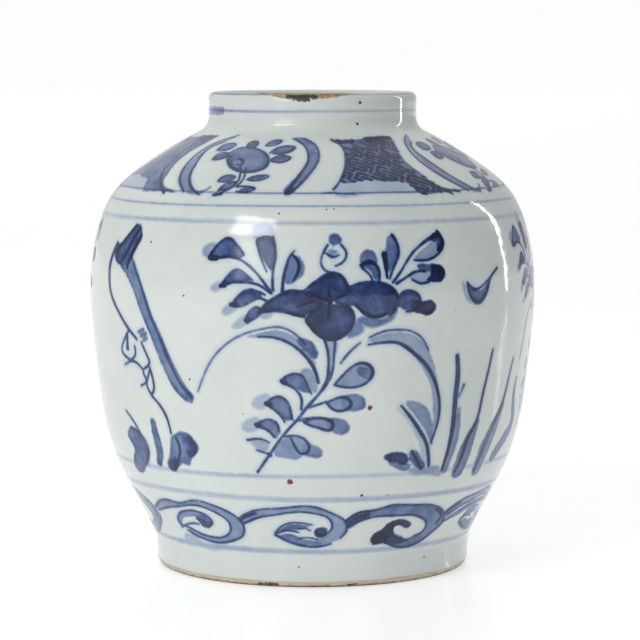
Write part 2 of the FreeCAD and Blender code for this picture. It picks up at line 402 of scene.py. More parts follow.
main_flower = read_strokes("""
left leaf fill | wash | 0 | .62 | 209,257 214,249 219,243 230,238 235,243 241,249 244,255
  240,259 230,257 215,259;
left leaf edge | line | 1.5 1.1 1.3 .9 | .8 | 209,257 213.9,249.3 219.3,243 230,238 235.4,243
  240.7,249.3 243.8,254.6;
left leaf stem | line | 1.4 1.1 1.2 1.7 | .8 | 214.8,259 222.9,257.3 230,256.9 240.7,260
  249.6,266.3 260.4,277.9 270.2,292;
left leaf tip | line | 2.6 2.8 | .95 | 210,257.8 216,258.2;
left leaf cap | tint | 0 | .3 | 204,256 204,248 209,244 215,243 219,245 214,251 210,257;
second leaf cap | tint | 0 | .24 | 255,239 254.5,227 261,222.5 270,223.5 273.5,230 273.5,238
  264,235.5;
second leaf fill | wash | 0 | .66 | 256.5,240 265,236 273,238 275.3,248 275,260 272,270
  266,265 260,253;
second leaf crown | line | 2.6 3.2 2.6 | .93 | 258.5,239.8 265,238.4 271.5,238.8;
second leaf left | line | 1.4 1.2 .9 | .8 | 256.8,241.3 259.5,252.9 263.9,265.4 266.6,271.6;
second leaf right | line | 1.5 1.3 1.2 1.6 | .82 | 272.9,236.8 275.1,247.5 275.1,260
  272.9,272.5 272.9,290.4;
third leaf wash | wash | 0 | .5 | 284,275 286.3,265 291,255 297,256 304,265 303,275 296,281
  287,284;
third leaf left | line | 1.7 1.5 1.1 | .82 | 282.2,292 283.6,277 286.3,265.4 289.8,256.4
  294.3,251;
third leaf right | line | 1.2 1.6 1.1 | .82 | 292.5,254.6 298.8,263.6 297.9,272.5 293.4,280.5;
fourth leaf fill | wash | 0 | .62 | 222,285 229,276 237,270 245,274 251,281 241,282 230,283;
fourth leaf edge | line | 1.5 1.1 1.1 | .8 | 221,285 228,276 237,269.4 245,273.5 252.3,280.5;
fourth leaf stem | line | 1.3 1.1 1.3 1.7 | .8 | 221,286.8 230,283.2 242.5,282.3 255.9,284
  264.8,288.6 271,293;
fourth leaf tip | line | 2.2 2.4 | .94 | 220.5,286 224.5,285.2;
fourth leaf cap | tint | 0 | .26 | 211,289.5 215,283.5 222,281.5 228,283 223,288 214,291;
fifth leaf fill | wash | 0 | .64 | 234,304 240,295 249.6,290 257,292 262,296 253,299.5
  243,305.5;
fifth leaf edge | line | 1.5 1.1 1.1 | .8 | 232,304 240,294.5 249.6,289.5 258,291.5
  264.8,294.8;
fifth leaf stem | line | 1.4 1.1 1.2 1.4 | .8 | 233.6,306.4 242.5,306 253.2,300.2 260.4,298.4
  266.6,301;
fifth leaf tip | line | 2.4 2.6 | .95 | 231,304.5 236,304.8;
fifth leaf cap | tint | 0 | .28 | 222,313.5 225.5,307 233,304.5 238,306 234,311 225,314.5;
sixth leaf fill | wash | 0 | .62 | 248,319 251,311 256.5,307.5 261,310 257,316 250,321;
sixth leaf edge | line | 1.5 1.1 1.1 | .8 | 246,319 250,311 256,307.3 262,309;
sixth leaf stem | line | 1.4 1.1 1.2 | .8 | 247,322.5 257.7,316.3 263,311;
sixth leaf tip | line | 2.0 2.2 | .94 | 245.5,320.5 249,319.5;
sixth leaf cap | tint | 0 | .26 | 232,328 237,321 246,316 251,319 245,325 236,328.5;
sixth leaf shade | tint | 0 | .25 | 260,314 267,309 274,311 270,317 262,318;
long petal fill | wash | 0 | .77 | 259,312.5 266.6,303 278,296 291.6,291 304,291 309,290
  325,300 314,308 305,316.5 287,312.5 273.8,311;
long petal upper edge | line | 1.2 1.4 1.2 1.5 | .84 | 258.6,312.7 266.6,303 278.2,295.7
  291.6,290.4 305,290.4 308,287.6;
long petal lower edge | line | 1.3 1.4 1.6 | .84 | 258.6,313 273.8,311 287,312.7 305,317;
long petal fold | line | 1.0 1.3 1.0 | .78 | 297,307.5 305,303.5 313.9,301;
top petal fill | wash | 0 | .76 | 309,288 318.4,280 330.6,274 340.8,276 347,284 349.5,291
  340,296 330,300 318,296 310,291;
top petal edge | line | 1.5 1.3 1.4 1.5 | .85 | 308.2,287.6 318.4,279.4 330.6,273.3
  340.8,275.3 346.9,283.5 349,288.6;
heart upper | line | 1.1 1.6 | .88 | 328.6,286.5 330,295.7;
heart lower | line | 1.5 1.0 | .86 | 329.6,306 328,318;
heart left | line | 1.2 1.5 1.4 | .86 | 310,291.6 319,296.5 327.6,299.8;
heart right | line | 1.2 1.5 1.4 | .86 | 349,291.6 340,297 330,300.8;
heart lower right | line | 1.3 1.0 | .84 | 334.7,300.8 341,304.5 348,307;
heart lower left | line | 1.2 1.3 | .84 | 319,306 327,301;
heart knot | line | 2.8 3.0 | .95 | 328.3,300.2 330.2,301.4;
right petal fill | wash | 0 | .73 | 335,299 349,289 361.2,284 375.5,283 386.7,285.5 394.9,291
  397.5,300 395,308 388,314 376,317.5 363,314 354,306 348,306;
right petal edge | line | 1.4 1.2 1.4 1.7 1.6 | .84 | 349,287.6 361.2,283 375.5,282
  386.7,284.5 394.9,290.6 398,299.8 395.9,308 389.8,315;
right petal lower edge | line | 1.2 1.8 2.1 1.6 | .87 | 355,304 363.3,312 375.5,317 387.8,313;
right petal shade | tint | 0 | .55 | 357,320 366,317 380,319 390,315 397,308 394,317 384,324
  373.5,327 364,325;
bottom petal fill | wash | 0 | .79 | 306,321 310.2,313 320,306 329,303 340,305 348,306 354,315
  353,324 344,335 333.7,339.5 322.4,337.5 313.3,330.4;
bottom petal left | line | 1.2 1.3 | .84 | 306,320.2 310.2,313 319.4,306;
bottom petal edge | line | 1.3 1.4 1.8 1.7 1.4 | .86 | 348,306 354,315 353,324.3 343.9,335.5
  333.7,339.6 322.4,337.6 313.3,330.4 306,321;
bottom petal shade | tint | 0 | .5 | 352,328 357,321 364,328 358,335 348,337;
bud | wash | 0 | .6 | 328.6,242 330,236 335,233.5 340.5,236 341.8,241 338,244.7 331,244.7;
bud left | line | 1.2 1.0 1.2 1.0 | .8 | 328,244.7 322,256 321.4,265 326.5,271.2 334.7,272.2;
bud right | line | 1.1 1.2 1.0 | .8 | 340.8,244.7 346.4,252.9 343.9,261 335.7,266;
bud crescent | line | 1.0 1.6 1.0 | .82 | 325.5,252.9 333.7,256.9 338.8,254.9;
bud inner | wash | 0 | .45 | 328,252 333,249.5 338,252 334,255.5;
seventh leaf cap | wash | 0 | .54 | 361,264 361,254 367,250 373,251 376.5,257 377,265 370,262;
seventh leaf fill | wash | 0 | .58 | 362,267 369.4,263 377,267.5 379,276 377,281 373,277
  369,270;
seventh leaf edge | line | 2.1 2.3 1.6 1.3 1.2 | .9 | 361.2,265.5 369.4,262 377.6,267
  379.6,275.3 378.6,283;
seventh leaf left | line | 1.4 1.1 | .82 | 362.2,268.2 369.4,274.3 373.5,282.4;
eighth leaf cap | wash | 0 | .56 | 387,250 386.5,241 391,235 396,237 397.5,245 396.5,252
  391,254;
eighth leaf fill | wash | 0 | .56 | 385,252 390,240 392,236 397,246 397.5,257 393,267 389,273
  386,265;
eighth leaf right | line | 1.4 1.6 1.4 1.2 | .84 | 391.8,234.5 398,246.7 398,257 393.9,267
  389.8,278.4;
eighth leaf left | line | 3.0 2.2 1.2 | .92 | 384.3,254 385.7,265 387.2,277.3;
ninth leaf fill | wash | 0 | .34 | 414,260 422,250 430,242 437,235 442,243.5 437,253 426,259;
ninth leaf tip | wash | 0 | .8 | 429,240 433,234 438,231.5 442,236 443.5,244 441,250 437,252
  436.5,245 433,241;
ninth leaf edge | line | 1.7 1.6 1.5 1.1 | .84 | 436.7,231.4 442.9,243.7 437.8,254 426.5,260
  414.3,260;
ninth leaf stem | line | 2.4 1.3 1.2 1.5 | .84 | 437,233.5 430.6,237.6 417.3,247.8 408.2,259
  401,271.2 392.9,282.4;
tenth leaf shade | wash | 0 | .62 | 417,266 430,264 438,266 432,271 420,270;
tenth leaf heap | wash | 0 | .94 | 430,265 438,264.5 444.5,269 445,276 440,281.5 432,282
  427,280 431,274;
tenth leaf pale | tint | 0 | .3 | 409,275 417,271 430,272 430,280 421,283 412,279;
tenth leaf stem | line | 1.6 1.2 1.3 1.3 | .83 | 396.9,283.5 409.2,275.3 417.3,271.2
  425,271.5;
tenth leaf lower | line | 1.1 1.2 1.3 | .82 | 412.2,279.4 422.4,283.5 429.6,281.4;
eleventh leaf tail | wash | 0 | .92 | 413,299 421,301.5 430,300 435.5,304 434.5,311 428,315
  419,313 413,310;
eleventh leaf fill | wash | 0 | .68 | 399,301 402,294 409,291.5 416,295 418,302 414,309
  406,310.5 400,307;
eleventh leaf edge | line | 1.1 1.2 1.2 1.8 2.4 1.6 1.1 | .86 | 399,306 399,298 404,291.5
  412,291.3 418.5,296 419.8,303 415,309.5 406,311.5;
""")

flower_stem = read_strokes("""
stem fill | tint | 0 | .3 | 325,339 335,340 334,358 330,376 322,391 311,404 302,415 290,429
  279,443 268,459 257,473 263,462 274,447 287,431 299,417 309,405 318,394 326,380 328,364
  328,352;
stem left | line | 1.4 1.2 1.4 1.6 1.3 1.2 1.4 | .84 | 324.5,339.6 328,353 328.6,364.6
  326.7,380 317.8,395.3 307.6,406.7 298.6,418.2 287,431 277,443.7 269.3,455.2 257.8,471.8;
stem right | line | 1.2 1.1 1.3 | .8 | 335.2,340.6 334,358 330.5,377.4 322.9,390;
left arc wash | wash | 0 | .37 | 247,337 263,332 282,331 295,337 306,347 314,360 318,379
  312,368 304,357 291,345 275,338.5 258,337.5;
left arc upper | line | .9 1.0 1.1 1.1 1.1 1.4 | .66 | 198,391.4 203,377.4 211.9,359.5
  224.6,345.5 243.8,334 262.9,328.9 280,327.3 294.8,334 305,344.2;
left arc lower | line | .9 1.3 1.5 1.8 1.6 | .82 | 257.8,336.7 275.7,338 291,344.2 305,355.7
  313.9,368.5 318.4,382.5;
left arc pool | wash | 2.5 5.0 3.5 | .66 | 300,341 308,346.5 314,354.5;
first twig leaf fill | wash | 0 | .56 | 284,378 295,374 302.5,376.5 307,387 310,393 300,391
  293,387 286,384;
first twig leaf tip | line | 2.6 2.8 | .95 | 282,381 285,383;
first twig leaf edge | line | 1.4 1.1 1.2 1.1 | .82 | 284,378 294.8,373.6 302.4,376
  307.6,386.3 311.4,394;
first twig leaf shade | tint | 0 | .36 | 301,371 308,369 315,378 315,393 310,391 307,381;
first twig leaf stem | line | 1.3 1.1 1.3 1.4 | .82 | 284.6,383.8 294.8,389 301.2,397.8
  301.2,409.3;
second twig leaf fill | wash | 0 | .56 | 268,402 279.5,397 287,402 291,412 291,420 285,420
  279,413.5 271,407;
second twig leaf tip | line | 2.4 2.6 | .94 | 266,403.5 270,405;
second twig leaf top | line | 1.3 1.1 1.1 1.2 | .82 | 267,402 279.5,396.5 287,401.6 291,411.8
  292.2,419.5;
second twig leaf low | line | 1.2 1.1 1.2 | .82 | 269.3,406.7 279.5,414.4 284.6,422;
second twig leaf cap | tint | 0 | .24 | 252,403 257,397.5 268,395 271,400 266,407 256,408;
third twig leaf fill | wash | 0 | .54 | 257,424 268,420 275.7,422.5 279,432 277,438 270,433
  263,429;
third twig leaf tip | line | 2.2 2.3 | .94 | 256,424.5 260,425.8;
third twig leaf top | line | 1.3 1.0 1.1 | .8 | 257,423.5 268,419.5 275.7,422 279.5,432.2;
third twig leaf low | line | 1.1 1.0 1.1 | .8 | 256.5,427 266.7,429.7 274.4,437.3;
third twig leaf cap | tint | 0 | .22 | 242,427 247,420.5 259,419 261,425 254,431 245,431;
fourth twig leaf fill | tint | 0 | .3 | 250,440 261,440 269,443 266,451 258,449;
fourth twig leaf top | line | 1.5 1.0 1.1 | .78 | 247.6,440 261.6,439.3 269.3,442.4;
fourth twig leaf low | line | 1.0 1.0 | .76 | 256.5,450 268,454;
fourth twig leaf knot | line | 2.0 2.1 | .9 | 268.5,454 270.3,455.4;
right leaf fill | tint | 0 | .4 | 335,384 345.8,373.5 356,366 365,364.5 371,370 370,377
  362,384 349.6,386.5;
right leaf pool | wash | 4.0 5.0 | .6 | 361,371 368,374;
right leaf edge | line | 1.2 1.2 1.3 1.9 1.8 1.3 1.2 1.1 | .84 | 334.3,385 345.8,372.3
  356,364.6 365,363.4 372.6,369.7 371.3,377.4 362.4,385 349.6,387.6 335.5,385.6;
ring leaf stem | line | 1.3 1.1 | .82 | 310,407.4 326.7,401.6;
ring leaf fill | wash | 0 | .42 | 327,403 338,398 348,399.5 350.5,404 343,410 333,409;
ring leaf | line | 1.2 1.2 1.5 1.9 1.5 1.2 1.2 | .86 | 326.7,403 338.2,397.8 348.4,399
  351,404.2 343.3,410.6 333,409.3 326.7,403.4;
ring leaf cap | wash | 0 | .56 | 342,398 352,394 361,395.5 366,401 364,408 354,411 344,409;
low ring stem | line | 1.3 1.1 1.1 | .82 | 297.3,420.8 317.8,417.6 328,419;
low ring fill | wash | 0 | .42 | 304,422 320,418.5 332,424.5 329,429 320,428 311,426;
low ring | line | 1.1 1.2 1.7 1.6 1.2 1.1 | .85 | 303.7,422 320.3,418.2 333,424.6 330.5,429.7
  320.3,428.4 311.4,426 304,422.4;
low ring cap | wash | 0 | .52 | 327,420 336,418 345,420.5 350,428 345,434 332,431;
low leaf fill | wash | 0 | .36 | 285,437 297,436.5 306,441.5 308,450 302,453.5 295,446
  291,439;
low leaf edge | line | 1.1 1.1 1.3 1.6 1.3 1.1 1.0 | .8 | 284.6,436.7 297.3,436 306.3,441.2
  308.8,450 302.4,454 294.8,446.3 291,438.6;
low leaf tail | wash | 0 | .5 | 303,443 314,445 321.6,451 320,457.5 310,457 302,453;
low leaf shade | wash | 0 | .4 | 274,448 283,439 299,437 305,452 299,458.5 284,458 275,455;
short stroke | line | .9 1.4 1.2 | .74 | 360.2,342.7 351,350.8 340.8,363;
""")

right_arc_and_rocks = read_strokes("""
arc leaf wash | wash | 0 | .33 | 367,341 383,334 397,332 412,334 423,341 430,353 436,372
  439.5,394 440,410 436.5,428 431,443 433,427 433.5,411 432.5,395 428,378 420,364 409,351
  397,344 383,343;
arc leaf upper | line | 1.1 1.2 1.1 1.0 .9 | .74 | 369.4,337.6 383,331.7 397,329.8 412,331.5
  423,339.5 428.6,350;
arc leaf lower | line | 1.0 1.5 1.9 2.1 1.9 1.7 1.4 1.0 | .84 | 368.4,344.7 384,342.4
  399,343.3 413.4,352.8 424,362.5 432.9,376.6 438.3,394 439.4,410.3 436.2,427.6 430.7,442.8;
blade | line | 1.2 1.8 2.1 2.0 1.5 | .86 | 401.5,406 411.2,417.9 419.9,430.9 426.4,443.9
  428.6,465.6;
blade wash | wash | 0 | .42 | 406,402 422,404 431,417 433,431 431.5,446 428,436 421,424
  413,413;
blade pale side | tint | 0 | .2 | 398,408 408,420 416,434 421,450 423,466 428,466 425,446
  419,431 410,418;
rock | wash | 0 | .93 | 384,457 390,453 398,452 405,454 408,459 406,464 398,463 390,462;
rock foot | wash | 0 | .5 | 388,463 398,462 406,462 411,466 408,470 396,468;
rock right | wash | 0 | .6 | 411,451 415,450 421,458 425,466 422,470 414,466;
rock right edge | line | 1.2 1.6 1.3 | .88 | 411.2,450.4 416,459 421,468.8;
rock ground | tint | 0 | .34 | 408,470 420,468 440,469 441,473 424,474 410,473;
first reed | line | 2.2 2.7 2.8 2.6 2.2 1.8 1.3 | .8 | 457.3,356 457.9,373.4 455.7,395
  454.6,408 452.4,427.6 448,449.3 441.6,470;
first reed head | line | 2.2 2.6 | .86 | 457.3,357 457.7,361;
first reed foot | wash | 1.2 3.2 3.6 3.0 | .46 | 459,408 456,430 449,455 444,469;
thorn | line | 1.8 .9 | .6 | 463.8,385.3 459,397;
second reed | line | 1.2 1.4 1.5 1.7 2.0 1.8 1.3 | .76 | 493,349.5 487.7,373.4 481.7,399.4
  476.3,421 467,440 462.2,454.7 454.6,472;
second reed wash | wash | 1.4 4.4 6.0 5.4 | .52 | 478,421 470,438 464,454 458,470;
third reed | line | 1.1 1.5 1.8 2.4 2.6 1.8 | .66 | 513.2,358.2 507.7,382 501.2,406
  491.5,427.6 481.7,451.5 474,470;
third reed wash | wash | 1.4 4.0 5.2 4.4 | .44 | 503,404 494,426 484,449 476.5,468;
fourth reed | wash | 1.2 1.8 2.6 3.4 3.0 | .5 | 516.4,377.7 513.2,397.2 511,423.3 502.3,440.6
  492.6,455.8;
crescent lower | line | 1.2 1.5 2.0 1.6 1.3 1.0 | .86 | 467.5,282.5 470.8,295.8 477.4,302.4
  485.7,294 490.7,277.5 497.3,267.6;
crescent upper | line | 1.1 1.3 1.1 .9 | .84 | 467.5,282.5 475.8,289.2 484,284.2 490.7,276;
crescent fill | wash | 0 | .62 | 468,284 476,290 485,286 489,280 486,293 478,301 472,296;
crescent shade | tint | 0 | .26 | 463,282 468,288 471,297 477,304 470,302 465,295;
""")

rock_scene = read_strokes("""
trunk wash | wash | 0 | .52 | 135,229 141,231 140,241 135,248 133.5,258 140,280.6 146,298
  152.5,318 158,330 166.5,351 176,372 187,389 193.5,397 189.5,402 185,400 176,391 166,373
  156,349 149,332 140,309 133,289 127,276 121,267 115.5,260 115.5,252 119,244 125,241;
trunk right edge | line | 1.4 1.5 1.8 1.8 2.2 2.6 2.6 2.6 2.2 | .52 | 133.8,262 139.5,280.6
  144.8,297.8 151.3,317.6 157,330 165.5,351 175.2,372 185.6,389.3 192,397.5;
trunk left edge | line | .9 .9 .8 .8 .9 | .35 | 127.2,275.4 133.2,289 140,309 149.6,332
  155.8,349 166.3,373 176.8,391 186.4,400.8;
trunk end | wash | 2.0 3.0 2.0 | .6 | 184,395 189,398 191,401;
trunk knot | wash | 0 | .72 | 134,229 140,224 142,230 141,241 136,247 131,262 123,266 116,260
  115,252 119,244 127,240;
first hatch | line | 1.3 1.5 1.2 | .95 | 137,225 130,234 122,244 116,252;
second hatch | line | 1.2 1.5 1.2 | .95 | 140.5,228 133,240 127,252 121,262;
third hatch | line | 1.1 1.5 1.2 | .93 | 141,236 135,249 130,258 127,268;
fourth hatch | line | 1.1 1.3 1.1 | .93 | 124,242 119,250 117,260;
tendril | line | 1.9 2.0 1.8 1.5 1.3 1.3 1.1 | .78 | 117.7,243.6 114,252 110,266 109.5,279
  110.8,291.8 116,306.4 123.7,321 129.8,330.5 136.7,339;
blossom hatch | line | 1.6 1.2 1.5 1.0 1.3 | .55 | 138.5,332 143.5,329 140.5,336.5 146,333
  143,341 147,338;
blossom left | line | 1.0 1.1 1.2 | .84 | 129,330 123.3,342.4 122.3,351 130,359.7;
blossom middle | line | 1.0 1.1 1.0 | .84 | 134.7,346.3 134.3,356.8 131,360;
blossom low | line | 1.0 1.2 1.2 | .85 | 125.2,364.4 132.8,361 139.5,365.4 143.4,370.2;
blossom right | line | 1.0 1.1 1.2 1.1 1.1 1.0 | .84 | 141.4,342.4 147.2,355.8 149,364.4
  143.4,370.2 146.2,381.7 141.4,385.5;
blossom dots | line | 1.6 1.2 1.6 | .88 | 127,335 127.3,341 127.6,348;
twig loop right | line | 1.0 1.1 1.1 1.1 | .84 | 150,368.3 153.4,381.7 153.9,389.3 152,395;
twig loop left | line | 1.0 1.0 1.1 | .84 | 150,368 148,376.5 147,385 152,395;
twig down | line | 1.1 1.2 1.2 1.0 | .82 | 152,396 161.5,407.5 167.3,419 171,433.3;
left rock | wash | 0 | .64 | 130.9,426.6 128,433.3 134.7,448.6 133.8,462 142.4,472.5 147,465
  149,450.5 142.4,436.2;
left rock edge | line | 1.2 1.6 1.4 1.3 | .45 | 131,427 142.4,436.2 149,450.5 147.5,464;
left rock line | line | 1.0 1.2 1.1 | .76 | 126,410.4 134.7,422.8 141.4,435.2;
rock stroke | wash | 2.2 2.9 3.0 2.4 | .62 | 152.9,421.8 155.8,435.2 159.6,449.6 159.6,463;
right rock | wash | 0 | .56 | 173,435 185.5,432.5 195,441 198.5,449.6 192,458.2 189,465.5
  183,463 175,472 168.5,466.8 170,453.4;
right rock dark | wash | 0 | .76 | 184,435 195,442 198,450 191,457 186,450;
right rock foot | wash | 0 | .84 | 169,461 174,458 179,464 175,471.5 169.5,467;
right rock crease | line | 1.0 1.3 1.0 | .85 | 176,438 180,450 178,461;
""")

shoulder_flower = read_strokes("""
head wash | wash | 0 | .54 | 228,160 233,152 242,148.5 254,148.5 264,152 269,160 264,168
  254,172 242,172 233,168;
head outline | line | 1.3 1.1 1.3 1.5 1.7 1.5 1.3 | .82 | 230,153 239,148.3 251,147.8 262,151
  268.5,158 267,165.5 259,170.5 248,172.3 237,170.5 229.5,165 227.5,158 230.5,152.5;
head rim | wash | 2.0 2.6 2.0 | .66 | 231,156 231,165 240,170 254,170 264,164 265,156;
head curl | line | 1.5 1.6 1.3 1.0 | .9 | 239,158.5 242.8,160.5 241.8,164.5 237.5,164.5;
upper left petal fill | wash | 0 | .62 | 219,149.5 226,144.5 235,144.5 232,148 224,150.5;
upper left petal | line | 1.3 1.0 1.0 1.4 | .86 | 217.5,150 226,144 236,144.5 230,148.8
  219,150.5;
left petal fill | wash | 0 | .62 | 215,158.5 222,153.5 229,154 226,157.5;
left petal | line | 1.4 1.0 1.1 1.5 | .88 | 213,159 221,153 229.5,154 224,158 214,159.6;
top petal leaf fill | wash | 0 | .62 | 248,146.5 250,143 257,142 257,145.5 252,147.5;
top petal leaf | line | 1.3 1.1 1.3 | .86 | 247,147 250,142.5 258,142.3 256.5,146 250,148;
upper right petal fill | wash | 0 | .62 | 267,145 274,140.5 282,141 276,144.5;
upper right petal | line | 1.2 1.0 1.2 | .86 | 266,145.8 273.5,140.5 282,141 276,145 267,146;
right petal upper fill | wash | 0 | .62 | 273,151.5 284,146 295,148 286,152.5;
right petal upper | line | 1.2 1.2 1.6 1.4 | .9 | 270,153 282,146.5 295,147.8 289,152
  273,153.2;
right petal lower fill | wash | 0 | .62 | 272,160 281,156 290,158 284,161.5;
right petal lower | line | 1.2 1.1 1.5 | .88 | 270,160.5 280,155.5 290.5,158 284,162
  272,161.3;
stalk left | line | 1.2 1.0 1.1 1.5 | .86 | 240.5,166 238.6,180 229,189 214,195;
stalk right | line | 1.0 1.0 1.3 | .84 | 246,168 243.2,179 236.5,186.5;
stalk foot | line | 2.0 2.4 | .93 | 214,194.8 221,193.5;
leaf one fill | wash | 0 | .62 | 220,179.5 226,176 234,177 228,180.5;
leaf one | line | 1.5 1.1 1.1 1.3 | .88 | 218.5,180.5 226,175.5 235,177 229,181 219,181.3;
leaf two fill | wash | 0 | .62 | 250,178.5 260,175.5 267,176.5 258,179.5;
leaf two | line | 1.1 1.1 1.4 | .88 | 247,179.5 259,175.3 268.5,176.3 260,180 249,180;
leaf three fill | wash | 0 | .62 | 221,190 227,184.5 236,182.5 231,188;
leaf three | line | 1.5 1.1 1.2 | .88 | 218.5,190.5 226,184 236.5,182.3 231,188 222,190;
leaf four fill | wash | 0 | .62 | 238,191 245,187.5 254,188 247,191.5;
leaf four | line | 1.2 1.4 1.4 | .88 | 237,187 246,186.5 254.5,188.5 246,192.3 236.5,191.5;
left bracket fill | wash | 0 | .44 | 237,136.5 222,140.5 206,149 194,158.5 185.5,168 181,180
  184,190 191,194.3 198,194.5 191.5,187 190,178 196,165 207,151 222,143;
left bracket outer | line | .9 1.1 1.2 1.4 1.2 | .82 | 238.6,135.4 217.5,142 199.3,152.3
  185.2,166.3 179.8,180.3 183.8,191.6;
left bracket inner | line | .9 1.0 1.2 1.3 1.1 | .8 | 226,141.5 206,151 195,165 189.5,179
  192.5,189 199,194.3;
left bracket wisp | wash | 1.2 1.6 .8 | .5 | 193,191 201,192 210,187;
ground edge | line | .8 1.0 1.2 1.0 | .78 | 210.5,136 189.4,146.7 172.6,160.7 162.8,172
  160.7,183 164,193;
right bracket fill | wash | 0 | .52 | 294,138 304,138 315,145 318.5,157 311,172 299,185
  288,194 284.5,192.5 297,177 305,166 309,157 304.5,146;
right bracket left | line | 1.3 1.1 1.4 1.9 | .85 | 293.6,138.6 304.8,146.5 308.5,158
  301.6,172 293,183.5 286,192.8;
right bracket right | line | 1.0 1.1 1.4 | .8 | 304.8,138.6 316,145.5 319,157.7 311.2,172
  299,185.5 289,194.2;
right bracket foot | line | 2.0 2.8 | .94 | 292,188.5 286.5,193.3;
diaper edge | line | 1.3 1.0 1.0 1.1 | .8 | 331.5,139.9 341.5,146.5 345.6,158 344,171.4
  339.8,181.4 333.2,189.7;
diaper cap | wash | 0 | .8 | 363,139.2 376,137.2 391,138.6 390,141.5 377,142 364,141;
diaper corner | line | 1.5 2.4 1.4 | .86 | 331.5,139.5 338,142.6 348,142.5;
closing stroke | line | 1.0 1.4 1.2 .9 | .66 | 322,193.2 330,192.8 341,193.6 356,193.8;
""")

diaper_ground = """
331.5,140.5 345,139.8 365,138.2 391,138.8 399.5,153.2 409.5,164.8 422.7,174.7 441,186.3
462,191.5 440,192.8 419,192.5 409,184.5 388,181.5 365,180.5 341,181 344.3,171.4 345.8,158
341.5,146.5
"""
diaper_pale = "334,191.5 339.5,181 365,180 388,181 409,184 418,191.5 405,193.2 370,193.5"

wave_scroll_one = read_strokes("""
outer wash | wash | 0 | .42 | 156,506 161,500.5 170,500.5 178,503 193,500.5 207,503.5 222,509
  236.5,517.5 243.5,527 242,535 234,540 222,542.5 208,540 190,531.5 189,528 203,534.5 215,537
  224.5,536.5 230.5,530.5 229,523 219.5,515 207,509 193,505.5 178.5,506.5 166,508 159,510;
outer edge | line | 1.3 1.2 1.1 1.3 1.4 1.4 1.3 | .76 | 155.4,506.4 160.3,500.3 170,500.3
  178.5,502.7 193,500.3 207.5,503.3 222,508.8 236.6,517.3 243.9,527 242.7,535.4 234.2,540.3
  222,542.7 206,539.5 188,530;
inner edge | line | 1.2 1.1 1.1 1.3 1.2 1.1 | .76 | 159,510 166.4,507.6 178.5,506.4 193,505
  207.5,508.8 219.7,514.8 229.4,523.3 230.6,530.6 224.5,536.6 214.8,537.2 202.7,534.2
  188.2,527 178.5,520.9 178.5,514.8 185.7,510.6 198,511.8 207.5,516 212.4,523.3 208,527.5;
spiral wash | wash | 2.0 2.8 3.2 2.4 | .46 | 181,524 180.5,516 188,512.8 199,514.5 208,520;
spiral dark | wash | 0 | .64 | 196,516 203,514.5 210,519 212,525 207,528 200,523;
spiral tongue | line | 1.1 1.3 1.1 | .78 | 182,527 190.6,523.3 199,524;
spiral hook | line | 1.0 1.2 | .78 | 197,519 203,520.5 206,524;
under shade | tint | 0 | .22 | 186,534 200,540 215,545 228,545 222,549 200,546 186,541;
""")
wave_scroll_two = read_strokes("""
link wash | wash | 0 | .4 | 240,519 247,513.5 261,509.5 281.5,508 300,506.5 316,508 333,514.5
  345,522 346.5,529 340,538 330,543.5 320,546 305.7,546 291,542.5 276,535 300,538 317.5,539.5
  324,535.5 332,527.5 330.5,521 317.4,514.5 300,512.5 275.4,515 257,518.5 244,523.5;
link upper | line | 1.6 1.2 1.1 1.2 1.4 1.3 1.2 | .78 | 239,518.5 246.3,513.6 261,509.4
  281.5,508.2 299.6,506.4 316,507.5 333.5,514.2 345.5,522.2 346.9,528.9 340.2,538.3;
link lower | line | 1.5 1.2 1.0 1.1 1.4 | .78 | 243.9,523.3 257.2,517.9 275.4,514.8 300,512
  317.4,514.2 330.8,520.9 332.1,527.6 321.4,535.6;
link root | line | 1.6 2.2 1.4 | .82 | 240,520.5 246,516.5 256,513.5;
pool | wash | 0 | .82 | 316,529 323,527.5 327.5,529.5 325,536 318,537.5 314.5,533.5;
spiral top | line | 1.5 1.2 1.2 1.0 | .8 | 275.4,533 282.7,525.7 297.2,522.7 312,525;
spiral under | line | 1.5 1.5 1.4 1.2 | .8 | 275.4,535 291.2,542.7 305.7,546.3 320,546.5
  330.8,543.7;
spiral middle | line | 1.2 1.3 1.1 | .76 | 276,533.5 287,530.5 298.4,532.4;
spiral wash | wash | 0 | .55 | 278,533 284,527 297,524.5 310,526 300,530 290,530;
spiral low wash | wash | 0 | .55 | 279,536 290,534 300,538 315,541 322,544 306,545 291,541.5;
spiral dot | line | 1.0 1.1 | .74 | 300,538.3 309,537.8 317.4,539.6;
spiral notch | line | .9 1.2 | .72 | 299,529 305,528.5 310,530.5;
""")
